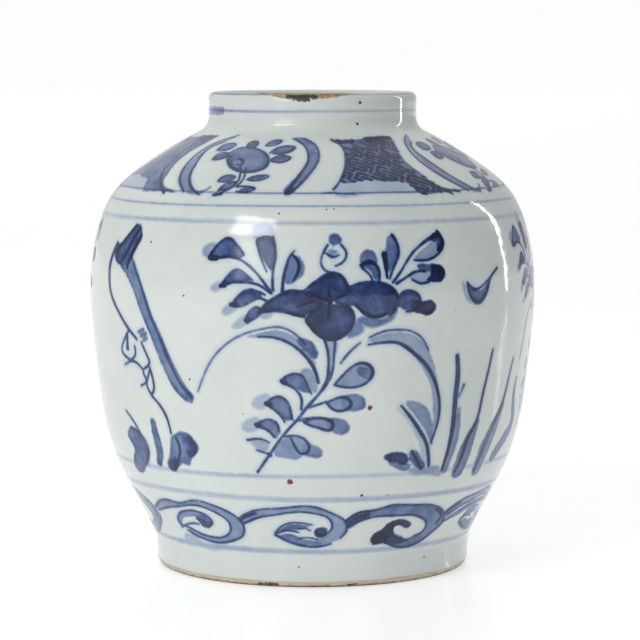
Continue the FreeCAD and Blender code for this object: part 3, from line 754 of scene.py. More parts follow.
wave_scroll_three = read_strokes("""
link wash | wash | 0 | .56 | 346,522 359,513.5 375,510.5 391,506 414,505 433.5,506 443,511.5
  443,519.5 434,530 415,543.5 403,546.5 391,545 380,541 384,536 395,534.5 406,538 414,535.5
  423,530 425.5,522.5 418,516.5 400,516 380.5,516.5 360.5,521.5 347,528;
link upper | line | 1.8 1.6 1.2 1.2 1.3 1.4 1.5 1.6 | .82 | 345.5,521.6 358.9,512.9 375,510.2
  391,505.5 413.8,504.8 433.9,505.5 443.3,511.5 443.3,519.6 433.9,530.3 415.2,543.7 403,547
  391,545 380.4,541 373.7,543.7;
link lower | line | 1.7 1.5 1.2 1.1 1.3 1.2 | .8 | 346.9,527.6 360.3,520.9 380.4,516.2
  400.4,515.5 417.9,516.2 425.9,522.2 423.2,530.3 413.8,535.6;
link root | line | 1.8 3.2 2.0 | .84 | 347,525.5 355,519.5 368,514.5;
outer side | line | 1.0 1.8 1.4 | .76 | 436,509 441,514 436,523;
spiral dark | wash | 0 | .9 | 371,537.5 380,530.5 391,522 404,519.8 411,524.5 407,528 400,525
  393,529 396,535 406,540 398,544 386,542 374,544 370.5,541;
tail | line | 2.6 2.8 | .95 | 373,541 378,539.5;
next link | wash | 1.6 2.8 2.8 2.4 | .58 | 443.3,520.9 460.7,510.2 474,502 487.5,495.4;
""")

# Specks in the glaze: a rust, grey or dark spot, its radius, and where it is
glaze_specks = (
    ("rust", 1.35, "290,482"), ("rust", 1.1, "370,408"), ("rust", .75, "361.6,495.4"),
    ("rust", .45, "279,213.5"), ("rust", .4, "213,96"), ("grey", .6, "387.7,494.8"),
    ("grey", .7, "424,557"), ("grey", .6, "299,567"), ("grey", .8, "511,451"),
    ("dark", .75, "360,102.5"), ("dark", .7, "357.5,123.8"), ("dark", .4, "326.5,209.5"),
    ("dark", .35, "334,209"), ("dark", .5, "472.5,204"), ("dark", .55, "151,242"),
    ("dark", .5, "183.6,295.7"), ("dark", .5, "189.6,379.3"), ("grey", .4, "316,151"),
    ("grey", .35, "400,470"), ("grey", .4, "243,414"), ("grey", .4, "455,310"),
)


# ---------------------------------------------------------------- from photo to wall

photo_width = 640
photo_middle = 320
camera_height = 221.0
camera_back = 1189.0
camera_dip = math.radians(5.67)
camera_focus = 2804.9
jar_axis_across = 312.5

# A line of sight is followed past the jar in this many steps, from a little before it
sight_steps = 700
sight_before, sight_after = 8, 20


def on_wall(pixels):
    """Where places in the photograph lie on the jar: the angle round from the
    front, in radians, and the length up the outer face, in millimetres."""
    pixels = np.array(pixels, float)
    across = (pixels[:, 0] - jar_axis_across) / camera_focus
    up = (photo_middle - pixels[:, 1]) / camera_focus
    sight = np.column_stack([across,
                             math.cos(camera_dip) + up * math.sin(camera_dip),
                             up * math.cos(camera_dip) - math.sin(camera_dip)])
    distances = np.linspace(camera_back - belly_radius - sight_before,
                            camera_back + sight_after, sight_steps)
    x = sight[:, :1] * distances
    y = -camera_back + sight[:, 1:2] * distances
    z = camera_height + sight[:, 2:] * distances
    gap = np.hypot(x, y) - radius_out(z)
    inside = gap < 0
    # A place just off the jar's side goes to the nearest part of its edge
    first = np.where(inside.any(axis=1), inside.argmax(axis=1), gap.argmin(axis=1))
    row = np.arange(len(pixels))
    before = np.maximum(first - 1, 0)
    drop = gap[row, before] - gap[row, first]
    share = np.clip(gap[row, before] / np.where(np.abs(drop) < 1e-9, 1, drop), 0, 1)
    hit = [a[row, before] + (a[row, first] - a[row, before]) * share for a in (x, y, z)]
    return np.column_stack([np.arctan2(hit[0], -hit[1]), length_at(hit[2])])


def places_in(words):
    """The places that words like "320,410 322,415" give."""
    return [tuple(float(number) for number in word.split(",")) for word in words.split()]


full_turn = 2 * math.pi
layers = ("line", "wash", "tint")
strokes = []

# How far apart the places of a stroke's path are, in the photograph
path_step = 2.0

# A stroke near the jar's edge is widened as if it faced the camera this much, or more
least_facing = 0.45


def add_stroke(layer, width, load, path, closed, repeat):
    """Keeps a stroke that is given by its path on the wall."""
    radius = radius_out(height_at(path[:, 1].mean()))
    strokes.append({
        "layer": layer, "area": closed, "repeat": repeat, "radius": radius,
        "path": path * (radius, 1), "load": np.atleast_1d(load).astype(float),
        "width": np.atleast_1d(width).astype(float)})


def seen_slant(path):
    """How much wider an upright stroke is on the wall than it looks from the front."""
    steps = np.abs(np.diff(path * (belly_radius, 1), axis=0)).sum(axis=0)
    upright = steps[1] / max(steps.sum(), 1e-6)
    turned_away = max(math.cos(path[:, 0].mean()), least_facing)
    return 1 + upright * (1 / turned_away - 1)


# The dark drawing was done with the tip of the brush
drawing_fineness = 0.74


def add_motif(motif, repeats, turn=0.0, lift=0.0, centre=None, narrow=1.0, low=1.0):
    """Paints a motif as the photograph has it, or turned round the jar, lifted,
    and made narrower and lower about a centre."""
    for _, layer, width, load, words in motif:
        area = width == 0
        path = on_wall(through(places_in(words), path_step, closed=area))
        width = np.atleast_1d(width) * seen_slant(path) * (
            drawing_fineness if layer == "line" else 1.0)
        if centre is not None:
            path = centre + (path - centre) * (narrow, low)
        add_stroke(layer, width, load, path + (turn, lift), area, full_turn / repeats)


def add_line_round(photo_y, width, load, sway, phase, layer="line"):
    """Paints a line round the whole jar, with the sway of the hand that drew it."""
    start = on_wall([(jar_axis_across, photo_y)])[0, 1]
    angles = np.radians(np.arange(-180, 184, 4.0))
    lengths = start + sway * (np.sin(2 * angles + phase) - math.sin(phase)
                              + 0.5 * (np.sin(5 * angles + 2 * phase)
                                       - math.sin(2 * phase)))
    add_stroke(layer, width, load, np.column_stack([angles, lengths]), False, full_turn)


def inside_area(x, y, edge):
    """Which places lie inside a closed edge."""
    within = np.zeros(len(x), bool)
    for (x0, y0), (x1, y1) in zip(edge, np.roll(edge, -1, axis=0)):
        if y0 != y1:
            within ^= ((y0 > y) != (y1 > y)) & (x < (x1 - x0) * (y - y0) / (y1 - y0) + x0)
    return within


# The key fret: one cell's size, the hooks drawn in it, and the lean of the whole. A
# stroke is broken where the panel's edge leaves a gap in its places.
key_across, key_along = 12.4, 8.2
key_hooks = (((0.5, 0.1), (9.0, 0.1), (9.0, 2.1), (6.4, 2.1)),
             ((4.5, 2.1), (0.9, 2.1), (0.9, 6.2), (4.4, 6.2)),
             ((2.9, 4.1), (11.1, 4.1), (11.1, 0.6)),
             ((6.4, 6.2), (11.1, 6.2), (11.1, 7.9)))
key_lean = math.radians(-30)
key_widths, key_load = (1.15, 1.35, 1.15), 1.0
key_step, key_gap = 0.9, 1.3


def add_key_fret(edge_words, repeats):
    """Fills the diaper panel with rows of hooked keys, each row a step along."""
    edge = on_wall(through(places_in(edge_words), path_step, closed=True))
    centre = edge.mean(axis=0)
    radius = radius_out(height_at(centre[1]))
    area = (edge - centre) * (radius, 1)
    cos, sin = math.cos(key_lean), math.sin(key_lean)
    turn = np.array([[cos, sin], [-sin, cos]])
    reach = np.abs(area).max(axis=0) * 1.4
    rows, columns = int(reach[1] / key_along), int(reach[0] / key_across)
    for row in range(-rows - 1, rows + 2):
        for column in range(-columns - 2, columns + 3):
            shift = ((column + (row % 2) / 2) * key_across, row * key_along)
            for hook in key_hooks:
                path = respaced((np.array(hook) + shift) @ turn, key_step)
                kept = path[inside_area(path[:, 0], path[:, 1], area)]
                if len(kept) > 1 and np.hypot(*np.diff(kept, axis=0).T).max() < key_gap:
                    add_stroke("line", key_widths, key_load,
                               centre + kept / (radius, 1), False, full_turn / repeats)


def distance_to_path(x, y, path):
    """How far places are from a path, and how far along it the nearest point is."""
    starts, steps = path[:-1], np.diff(path, axis=0)
    squares = np.maximum((steps ** 2).sum(axis=1), 1e-12)
    best = np.full(len(x), 1e9)
    along = np.zeros(len(x))
    for i, (start, step) in enumerate(zip(starts, steps)):
        share = np.clip(((x - start[0]) * step[0] + (y - start[1]) * step[1]) / squares[i],
                        0, 1)
        gap = np.hypot(x - start[0] - share * step[0], y - start[1] - share * step[1])
        nearer = gap < best
        best[nearer] = gap[nearer]
        along[nearer] = ((i + share) / len(steps))[nearer]
    return best, along


# Paint is looked for no further than this from a place
far_from_paint = 4.0


def paint_on(angles, lengths):
    """For each layer, how far places are outside the nearest stroke's edge, and how
    heavily the brush was loaded there."""
    fields = {}
    for layer in layers:
        fields[layer] = (np.full(len(angles), far_from_paint), np.zeros(len(angles)))
    for stroke in strokes:
        edge_field, load_field = fields[stroke["layer"]]
        path, radius = stroke["path"], stroke["radius"]
        spread = stroke["width"].max() / 2 + far_from_paint
        middle = (path[:, 0].min() + path[:, 0].max()) / 2
        reach = (path[:, 0].max() - path[:, 0].min()) / 2 + spread
        period = stroke["repeat"] * radius
        x = (angles * radius - middle + period / 2) % period - period / 2
        near = np.flatnonzero((np.abs(x) < reach) & (lengths > path[:, 1].min() - spread)
                              & (lengths < path[:, 1].max() + spread))
        if not len(near):
            continue
        x, y = x[near] + middle, lengths[near]
        if stroke["area"]:
            gap, along = distance_to_path(x, y, np.vstack([path, path[:1]]))
            gap = np.where(inside_area(x, y, path), -gap, gap)
            load = np.full(len(near), stroke["load"][0])
        else:
            gap, along = distance_to_path(x, y, path)
            marks = np.linspace(0, 1, len(stroke["width"]))
            gap = gap - np.interp(along, marks, stroke["width"]) / 2
            marks = np.linspace(0, 1, len(stroke["load"]))
            load = np.interp(along, marks, stroke["load"])
        edges, loads = edge_field[near], load_field[near]
        both = (gap < 0) & (edges < 0)
        loads = np.where(both, np.maximum(loads, load), np.where(gap < edges, load, loads))
        edge_field[near] = np.minimum(edges, gap)
        load_field[near] = loads
    return fields


# ---------------------------------------------------------------- the painting

# The front's picture is on the back too. Between them, over the reeds' side, is
# the flower again, smaller. The shoulder has four flowers and four diaper panels,
# and ten scrolls run round above the foot.
side_flower_centre = math.radians(83)
main_flower_place = (329, 300)
side_flower_low, side_flower_lift = 0.9, 4.0
spare_scroll_turns = (70, 72)

for motif in (main_flower, flower_stem, right_arc_and_rocks, rock_scene):
    add_motif(motif, 2)
flower_centre = on_wall([main_flower_place])[0]
for motif, narrow in ((main_flower, 0.66), (flower_stem, 0.42),
                      (right_arc_and_rocks[:3], 0.46)):
    add_motif(motif, 2, centre=flower_centre, narrow=narrow, low=side_flower_low,
              turn=side_flower_centre - flower_centre[0], lift=side_flower_lift)
add_motif(shoulder_flower, 4)
add_motif((("ground", "wash", 0, .6, diaper_ground),
           ("pale ground", "tint", 0, .2, diaper_pale)), 4)
add_key_fret(diaper_ground, 2)
for motif in (wave_scroll_one, wave_scroll_two, wave_scroll_three):
    add_motif(motif, 2)
for motif, turn in zip((wave_scroll_two, wave_scroll_three[:-1]), spare_scroll_turns):
    add_motif(motif, 2, turn=math.radians(turn))

neck_patch = read_strokes("""
neck patch | wash | 0 | .42 | 209.5,107 216,106.8 222.6,107 223.8,108.2 224,110.5
  223.8,113 222.6,114.2 216,114.4 209.5,114.2;
""")
add_motif(neck_patch, 2)

# Lines round the jar: height in the photograph, width, loads, sway, phase and layer
for line_round in ((193.3, .85, (.36, .46, .4, .52, .45, .36), 0.12, 0.4),
                   (206.2, .8, (.24, .28, .34, .28, .24, .24), 0.2, 1.1),
                   (223.2, .9, (.2, .14, .24, .18, .14, .2), 0.25, 2.0, "tint"),
                   (476.7, 1.0, (.16, .2, .24, .17, .2, .16), 0.3, 0.7, "tint"),
                   (500.2, 1.7, (.17, .22, .18, .24, .2, .17), 0.4, 2.6, "tint"),
                   (551.8, 1.7, (.22, .17, .27, .2, .17, .22), 0.2, 1.8, "tint"),
                   (111.5, 1.0, (.3, .6, .42, .2, .16, .22, .3), 0.1, 0.3),
                   (94.4, 1.1, (.4, .62, .4, .2, .5, .4), 0.06, 1.4)):
    add_line_round(*line_round)


# ---------------------------------------------------------------- node helpers


def place_node(tree, kind, inputs=(), **settings):
    """Adds a node, sets it up, and fills its inputs with values or other outputs."""
    node = tree.nodes.new(kind)
    for setting, value in settings.items():
        setattr(node, setting, value)
    for key, value in dict(inputs).items():
        if isinstance(value, bpy.types.NodeSocket):
            tree.links.new(value, node.inputs[key])
        else:
            node.inputs[key].default_value = value
    return node


def maths(tree, operation, *values, clamp=False):
    """What one mathematical operation makes of the values."""
    return place_node(tree, "ShaderNodeMath", dict(enumerate(values)),
                      operation=operation, use_clamp=clamp).outputs[0]


def eased(tree, value, low, high, to_low=0.0, to_high=1.0):
    """The value's way from low to high, eased at both ends."""
    return place_node(tree, "ShaderNodeMapRange",
                      {"Value": value, "From Min": low, "From Max": high,
                       "To Min": to_low, "To Max": to_high},
                      interpolation_type="SMOOTHSTEP").outputs["Result"]


def mottle(tree, place, size_mm, detail=2.0, roughness=0.5):
    """Cloudy variation whose patches are about this many millimetres across."""
    return place_node(tree, "ShaderNodeTexNoise",
                      {"Vector": place, "Scale": 1000.0 / size_mm, "Detail": detail,
                       "Roughness": roughness}).outputs["Fac"]


def blend(tree, share, first, second, how="MIX"):
    """The second colour laid over the first by its share."""
    node = place_node(tree, "ShaderNodeMix", {"Factor": share}, data_type="RGBA",
                      blend_type=how)
    for socket, value in ((node.inputs[6], first), (node.inputs[7], second)):
        if isinstance(value, bpy.types.NodeSocket):
            tree.links.new(value, socket)
        else:
            socket.default_value = (*value, 1.0)
    return node.outputs[2]


def new_group(name, inputs, outputs):
    """A node group with these sockets, and the ends to link inside it."""
    group = bpy.data.node_groups.new(name, "ShaderNodeTree")
    for direction, sockets in (("INPUT", inputs), ("OUTPUT", outputs)):
        for socket_name, kind, *value in sockets:
            socket = group.interface.new_socket(name=socket_name, in_out=direction,
                                                socket_type="NodeSocket" + kind)
            if value:
                socket.default_value = value[0]
    return (group, group.nodes.new("NodeGroupInput").outputs,
            group.nodes.new("NodeGroupOutput").inputs)


def use_group(tree, group, inputs):
    """Adds a group to a material, and gives its outputs."""
    return place_node(tree, "ShaderNodeGroup", inputs, node_tree=group).outputs


# ---------------------------------------------------------------- cobalt and glaze

# How each layer was painted: how far its edge strays, where the edge fades outside and
# inside, how thin and how thick the cobalt gets, and how much pools along the rim
layer_looks = {
    "line": (0.36, 0.46, -0.38, 0.88, 1.06, 0.0),
    "wash": (1.1, 0.75, -0.6, 0.84, 1.14, 0.09),
    "tint": (0.8, 1.3, -0.7, 0.84, 1.14, 0.09),
}
halo_reach, halo_load = 2.2, 0.12
rim_inner, rim_outer = -1.9, -0.6
heaped_from, heaped_full = 0.86, 0.98

cobalt, entry, result = new_group(
    "cobalt_brushwork", [("Place", "Vector")],
    [("Density", "Float"), ("Heaped", "Float")])
fine = mottle(cobalt, entry["Place"], 1.1, 1.0)
coarse = mottle(cobalt, entry["Place"], 7.0, 3.0, 0.6)
hand = mottle(cobalt, entry["Place"], 3.2, 2.0)
feather = maths(cobalt, "SUBTRACT",
                maths(cobalt, "ADD", maths(cobalt, "MULTIPLY", fine, 0.5), hand), 0.75)
densities = {}
for layer, (stir, soft_out, soft_in, thin, thick, rim) in layer_looks.items():
    edge = place_node(cobalt, "ShaderNodeAttribute",
                      attribute_name=layer + "_edge").outputs["Fac"]
    load = place_node(cobalt, "ShaderNodeAttribute",
                      attribute_name=layer + "_load").outputs["Fac"]
    stirred = maths(cobalt, "MULTIPLY_ADD", feather, stir, edge)
    mask = eased(cobalt, stirred, soft_out, soft_in)
    strength = eased(cobalt, coarse, 0.28, 0.72, thin, thick)
    pooled = maths(cobalt, "MULTIPLY", eased(cobalt, stirred, rim_inner, rim_outer), rim)
    strength = maths(cobalt, "ADD", strength, pooled)
    densities[layer] = maths(cobalt, "MULTIPLY", maths(cobalt, "MULTIPLY", load, mask),
                             strength)
    if layer == "line":
        halo = maths(cobalt, "MULTIPLY", eased(cobalt, stirred, halo_reach, 0.0),
                     halo_load)
        halo = maths(cobalt, "MULTIPLY", halo, load)
under = maths(cobalt, "MAXIMUM", densities["wash"], densities["tint"])
under = maths(cobalt, "MAXIMUM", under, halo)
clear = maths(cobalt, "MULTIPLY", maths(cobalt, "SUBTRACT", 1.0, under),
              maths(cobalt, "SUBTRACT", 1.0, densities["line"]))
density = maths(cobalt, "SUBTRACT", 1.0, clear, clamp=True)
cobalt.links.new(density, result["Density"])
cobalt.links.new(eased(cobalt, density, heaped_from, heaped_full), result["Heaped"])

speck_at, entry, result = new_group(
    "glaze_speck", [("Place", "Vector"), ("Centre", "Vector"), ("Radius", "Float", 0.001)],
    [("Mask", "Float")])
gap = place_node(speck_at, "ShaderNodeVectorMath", {0: entry["Place"], 1: entry["Centre"]},
                 operation="DISTANCE").outputs["Value"]
gap = maths(speck_at, "DIVIDE", gap, entry["Radius"])
uneven = maths(speck_at, "MULTIPLY_ADD", mottle(speck_at, entry["Place"], 0.9), 0.9, gap)
speck_at.links.new(eased(speck_at, uneven, 1.55, 1.15), result["Mask"])

# How the glaze's colour is darkened by the cobalt under it
cobalt_colours = (
    (0.0, (1.0, 1.0, 1.0)), (0.15, (0.68, 0.75, 0.88)), (0.3, (0.43, 0.51, 0.73)),
    (0.45, (0.255, 0.34, 0.565)), (0.6, (0.125, 0.19, 0.415)), (0.72, (0.052, 0.092, 0.265)),
    (0.86, (0.027, 0.045, 0.145)), (1.0, (0.014, 0.018, 0.045)))
speck_colours = {"rust": (0.16, 0.045, 0.022), "grey": (0.36, 0.37, 0.36),
                 "dark": (0.06, 0.065, 0.085)}
clear_glaze, thick_glaze, milky_glaze = (
    (0.655, 0.715, 0.70), (0.715, 0.76, 0.735), (0.76, 0.79, 0.74))
violet_tint = (1.08, 0.97, 1.0)
pinhole_colour = (0.22, 0.22, 0.22)
# The last of these clay colours is the near-black of grime and painted contact shade along the
# foot's lowest edge
clay_colour, pale_clay, red_clay, grime_and_contact_shade_colour = (
    (0.56, 0.44, 0.32), (0.62, 0.55, 0.42), (0.56, 0.40, 0.30), (0.05, 0.037, 0.027))
worn_dark, worn_pale, rubbed_colour = (0.24, 0.135, 0.05), (0.50, 0.36, 0.18), (0.62, 0.55, 0.45)

glaze, entry, result = new_group(
    "porcelain_glaze",
    [("Place", "Vector"), ("Density", "Float", 0.0), ("Heaped", "Float", 0.0)],
    [("Colour", "Color"), ("Roughness", "Float"), ("Height", "Float")])
place = entry["Place"]
cloud = eased(glaze, mottle(glaze, place, 46.0, 4.0, 0.6), 0.3, 0.7)
colour = blend(glaze, cloud, clear_glaze, thick_glaze)
small_cloud = eased(glaze, mottle(glaze, place, 8.0, 3.0, 0.6), 0.42, 0.75, 0.0, 0.3)
colour = blend(glaze, small_cloud, colour, milky_glaze)
ramp = place_node(glaze, "ShaderNodeValToRGB", {"Fac": entry["Density"]})
while len(ramp.color_ramp.elements) < len(cobalt_colours):
    ramp.color_ramp.elements.new(0.5)
for element, (position, shade) in zip(ramp.color_ramp.elements, cobalt_colours):
    element.position = position
    element.color = (*shade, 1.0)
violet = maths(glaze, "MULTIPLY", eased(glaze, entry["Density"], 0.05, 0.4),
               eased(glaze, mottle(glaze, place, 16.0, 2.0), 0.48, 0.7, 0.0, 0.5))
blue = blend(glaze, violet, ramp.outputs["Color"],
             blend(glaze, 1.0, ramp.outputs["Color"], violet_tint, "MULTIPLY"))
colour = blend(glaze, 1.0, colour, blue, "MULTIPLY")
pin = place_node(glaze, "ShaderNodeTexVoronoi", {"Vector": place, "Scale": 210.0})
pinhole = maths(glaze, "MULTIPLY",
                eased(glaze, pin.outputs["Distance"], 0.085, 0.045),
                eased(glaze, mottle(glaze, place, 30.0), 0.5, 0.62))
colour = blend(glaze, maths(glaze, "MULTIPLY", pinhole, 0.5), colour, pinhole_colour)
for kind, radius, spot in glaze_specks:
    centre = place_on_face(*on_wall(places_in(spot))[0]) * MM
    mask = use_group(glaze, speck_at, {"Place": place, "Centre": centre,
                                       "Radius": radius * MM})["Mask"]
    colour = blend(glaze, mask, colour, speck_colours[kind])
glaze.links.new(colour, result["Colour"])
rough = maths(glaze, "MULTIPLY_ADD", entry["Heaped"], 0.22, 0.07)
glaze.links.new(maths(glaze, "MULTIPLY_ADD", small_cloud, 0.05, rough), result["Roughness"])
skin = maths(glaze, "MULTIPLY", mottle(glaze, place, 5.5, 1.0), 0.55)
skin = maths(glaze, "MULTIPLY_ADD", mottle(glaze, place, 19.0, 1.0), 1.6, skin)
rings = place_node(glaze, "ShaderNodeTexWave",
                   {"Vector": place, "Scale": 38.0, "Distortion": 3.0, "Detail": 1.0,
                    "Detail Scale": 0.6}, bands_direction="Z").outputs["Fac"]
skin = maths(glaze, "MULTIPLY_ADD", rings, 0.2, skin)
skin = maths(glaze, "MULTIPLY_ADD", pinhole, -0.3, skin)
skin = maths(glaze, "MULTIPLY_ADD", entry["Heaped"], -0.12, skin)
glaze.links.new(skin, result["Height"])

# Chips, painted near-black for the shade in their hollows and for grime: how wide, and from
# where to where
chips = ((1.0, "288,96.6 316,96.9"), (1.1, "294,98.4 308,98.4"),
         (0.9, "259,581 277,585"), (0.6, "345,586.5 357,586"))
chip_shade_and_grime_colour = (0.022, 0.017, 0.013)
lowest_chip = 0.9
lip_roughness, clay_roughness = 0.55, 0.8

# A chip between two places on the lip or the foot, with a ragged edge, painted dark for the
# shade in its hollow and for grime
chip_at, entry, result = new_group(
    "chip_with_painted_shade", [("Place", "Vector"), ("Start", "Vector"), ("Run", "Vector"),
                  ("Half Width", "Float", 0.001)], [("Mask", "Float")])
reach = place_node(chip_at, "ShaderNodeVectorMath", {0: entry["Place"], 1: entry["Start"]},
                   operation="SUBTRACT").outputs["Vector"]
squares = [place_node(chip_at, "ShaderNodeVectorMath", {0: one, 1: entry["Run"]},
                      operation="DOT_PRODUCT").outputs["Value"]
           for one in (reach, entry["Run"])]
along = maths(chip_at, "DIVIDE", *squares, clamp=True)
nearest = place_node(chip_at, "ShaderNodeVectorMath", {0: entry["Run"], "Scale": along},
                     operation="SCALE").outputs["Vector"]
gap = place_node(chip_at, "ShaderNodeVectorMath", {0: reach, 1: nearest},
                 operation="DISTANCE").outputs["Value"]
gap = maths(chip_at, "DIVIDE", gap, entry["Half Width"])
gap = maths(chip_at, "MULTIPLY_ADD", mottle(chip_at, entry["Place"], 1.6, 2.0), 2.4, gap)
chip_at.links.new(eased(chip_at, gap, 2.5, 1.9, 0.0, 0.9), result["Mask"])

# Bare and worn clay: where the glaze stops above the foot's edge, and where it has
# worn off the lip at the front
bare, entry, result = new_group(
    "bare_clay",
    [("Place", "Vector"), ("Glaze", "Color"), ("Gloss", "Float"), ("Skin", "Float")],
    [("Colour", "Color"), ("Roughness", "Float"), ("Height", "Float")])
place = entry["Place"]
axes = place_node(bare, "ShaderNodeSeparateXYZ", {0: place}).outputs
tall = maths(bare, "MULTIPLY", axes["Z"], 1000.0)
round_front = maths(bare, "MULTIPLY", axes["X"], 1000.0)
grit = mottle(bare, place, 2.2, 3.0, 0.6)
waver = mottle(bare, place, 14.0, 2.0)
edge_at = maths(bare, "MULTIPLY_ADD", waver, 2.4, bare_foot_height - 1.1)
edge_at = maths(bare, "MULTIPLY_ADD", grit, 0.5, edge_at)
foot_bare = eased(bare, maths(bare, "SUBTRACT", tall, edge_at), 0.3, -0.1)
front = maths(bare, "ABSOLUTE", maths(bare, "ADD", round_front, 3.0))
front = maths(bare, "MULTIPLY_ADD", waver, 9.0, front)
side = eased(bare, axes["Y"], 0.0, -0.02)
worn_from = eased(bare, front, 12.0, 32.0, 197.3, 200.6)
worn_from = maths(bare, "MULTIPLY_ADD", grit, 1.0, worn_from)
lip_worn = maths(bare, "MULTIPLY",
                 eased(bare, maths(bare, "SUBTRACT", tall, worn_from), -0.3, 0.5), side)
rubbed = maths(bare, "MULTIPLY",
               eased(bare, maths(bare, "MULTIPLY_ADD", grit, -1.5, tall), 198.7, 199.3),
               eased(bare, waver, 0.45, 0.62, 0.0, 0.55))
clay = blend(bare, eased(bare, grit, 0.3, 0.7), clay_colour, pale_clay)
clay = blend(bare, eased(bare, waver, 0.5, 0.75, 0.0, 0.4), clay, red_clay)
# The lowest two millimetres of the bare clay darken to grime and painted contact shade where the
# foot meets the floor
grime_and_contact_shade = eased(bare, maths(bare, "MULTIPLY_ADD", grit, 1.3, tall), 2.0, 0.9, 0.0, 0.95)
clay = blend(bare, grime_and_contact_shade, clay, grime_and_contact_shade_colour)
brown = blend(bare, eased(bare, grit, 0.35, 0.65), worn_dark, worn_pale)
colour = blend(bare, rubbed, entry["Glaze"], rubbed_colour)
colour = blend(bare, lip_worn, colour, brown)
colour = blend(bare, foot_bare, colour, clay)
# Each chip is painted near-black: painted shade in its hollow, together with grime
for half_width, run in chips:
    ends = np.array([place_on_face(*spot) for spot in on_wall(places_in(run))])
    ends[ends[:, 2] < foot_root_height, 2] = lowest_chip
    ends = ends * MM
    mask = use_group(bare, chip_at, {"Place": place, "Start": ends[0],
                                     "Run": ends[1] - ends[0],
                                     "Half Width": half_width * MM})["Mask"]
    colour = blend(bare, mask, colour, chip_shade_and_grime_colour)
bare.links.new(colour, result["Colour"])
rough = entry["Gloss"]
for mask, value in ((lip_worn, lip_roughness), (foot_bare, clay_roughness)):
    rough = maths(bare, "ADD", maths(bare, "MULTIPLY", rough,
                                     maths(bare, "SUBTRACT", 1.0, mask)),
                  maths(bare, "MULTIPLY", mask, value))
bare.links.new(rough, result["Roughness"])
rasp = maths(bare, "MULTIPLY", maths(bare, "MAXIMUM", foot_bare, lip_worn), grit)
bare.links.new(maths(bare, "MULTIPLY_ADD", rasp, 1.2, entry["Skin"]), result["Height"])

# How deep the relief of the finish is, in metres, and how much of it shows
relief_depth = 0.0002
clay_relief, slip_relief = 0.8, 1.0
glass_index = 1.5


def porcelain(name, bump):
    """Painted, glazed porcelain with its bare clay at the foot and the worn lip."""
    material = bpy.data.materials.new(name)
    material.use_nodes = True
    tree = material.node_tree
    shader = tree.nodes["Principled BSDF"]
    place = place_node(tree, "ShaderNodeTexCoord").outputs["Object"]
    paint = use_group(tree, cobalt, {"Place": place})
    coat = use_group(tree, glaze, {"Place": place, "Density": paint["Density"],
                                   "Heaped": paint["Heaped"]})
    skin = use_group(tree, bare, {"Place": place, "Glaze": coat["Colour"],
                                  "Gloss": coat["Roughness"], "Skin": coat["Height"]})
    tree.links.new(skin["Colour"], shader.inputs["Base Color"])
    tree.links.new(skin["Roughness"], shader.inputs["Roughness"])
    relief = place_node(tree, "ShaderNodeBump",
                        {"Height": skin["Height"], "Strength": bump,
                         "Distance": relief_depth})
    tree.links.new(relief.outputs["Normal"], shader.inputs["Normal"])
    shader.inputs["IOR"].default_value = glass_index
    return material


finish_materials = {
    "painted_porcelain": porcelain("cobalt_painted_porcelain", clay_relief),
    "glazed_porcelain": porcelain("glazed_foot_and_neck", clay_relief),
    "porcelain_slip": porcelain("glazed_luting_slip", slip_relief),
}


# ---------------------------------------------------------------- the pieces

base_low, base_high = joint_lines["base"]
belly_low, belly_high = joint_lines["belly"]
neck_low, neck_high = joint_lines["neck"]
outlines = {
    "foot_and_base": foot_outline(base_low),
    "base_luting_slip": slip_outline(base_low, base_high),
    "lower_body": wall_outline(base_high, belly_low),
    "belly_luting_slip": slip_outline(belly_low, belly_high),
    "upper_body": wall_outline(belly_high, neck_low),
    "neck_luting_slip": slip_outline(neck_low, neck_high),
    "neck_collar": wall_outline(neck_high, None),
}
finish_slots = {
    "foot_and_base": "glazed_porcelain", "neck_collar": "glazed_porcelain",
    "lower_body": "painted_porcelain", "upper_body": "painted_porcelain",
    "base_luting_slip": "porcelain_slip", "belly_luting_slip": "porcelain_slip",
    "neck_luting_slip": "porcelain_slip",
}
turned = {}
for node_name, outline in outlines.items():
    turned[node_name] = turned_piece("turned_" + node_name, outline)

# What counts as the outer face: how near to it, and from what height up
outer_face_slack, outer_face_lowest = 0.7, 2.2

# The mesh is made closer twice, within these reaches of a line's and a wash's edge
mesh_reaches = ((0.9, 0.7), (0.42, 0.0))


def chart_of(places):
    """Which places are on the outer face, and their angle and length up it."""
    radius = np.hypot(places[:, 0], places[:, 1])
    outside = ((np.abs(radius - radius_out(places[:, 2])) < outer_face_slack)
               & (places[:, 2] > outer_face_lowest))
    return outside, np.arctan2(places[:, 0], -places[:, 1]), length_at(places[:, 2])


def face_corners(mesh):
    """The place at each corner of the faces, and the corner each face starts with."""
    corners = np.empty(len(mesh.loops), int)
    mesh.loops.foreach_get("vertex_index", corners)
    starts = np.empty(len(mesh.polygons), int)
    mesh.polygons.foreach_get("loop_start", starts)
    return corners, starts


def painted_fields(piece):
    """For each layer, how near paint is to each point of the piece, and its load."""
    places = coordinates(piece)
    outside, angles, lengths = chart_of(places)
    fields = {layer: (np.full(len(places), far_from_paint), np.zeros(len(places)))
              for layer in layers}
    found = paint_on(angles[outside], lengths[outside])
    for layer in layers:
        for whole, part in zip(fields[layer], found[layer]):
            whole[outside] = part
    return fields


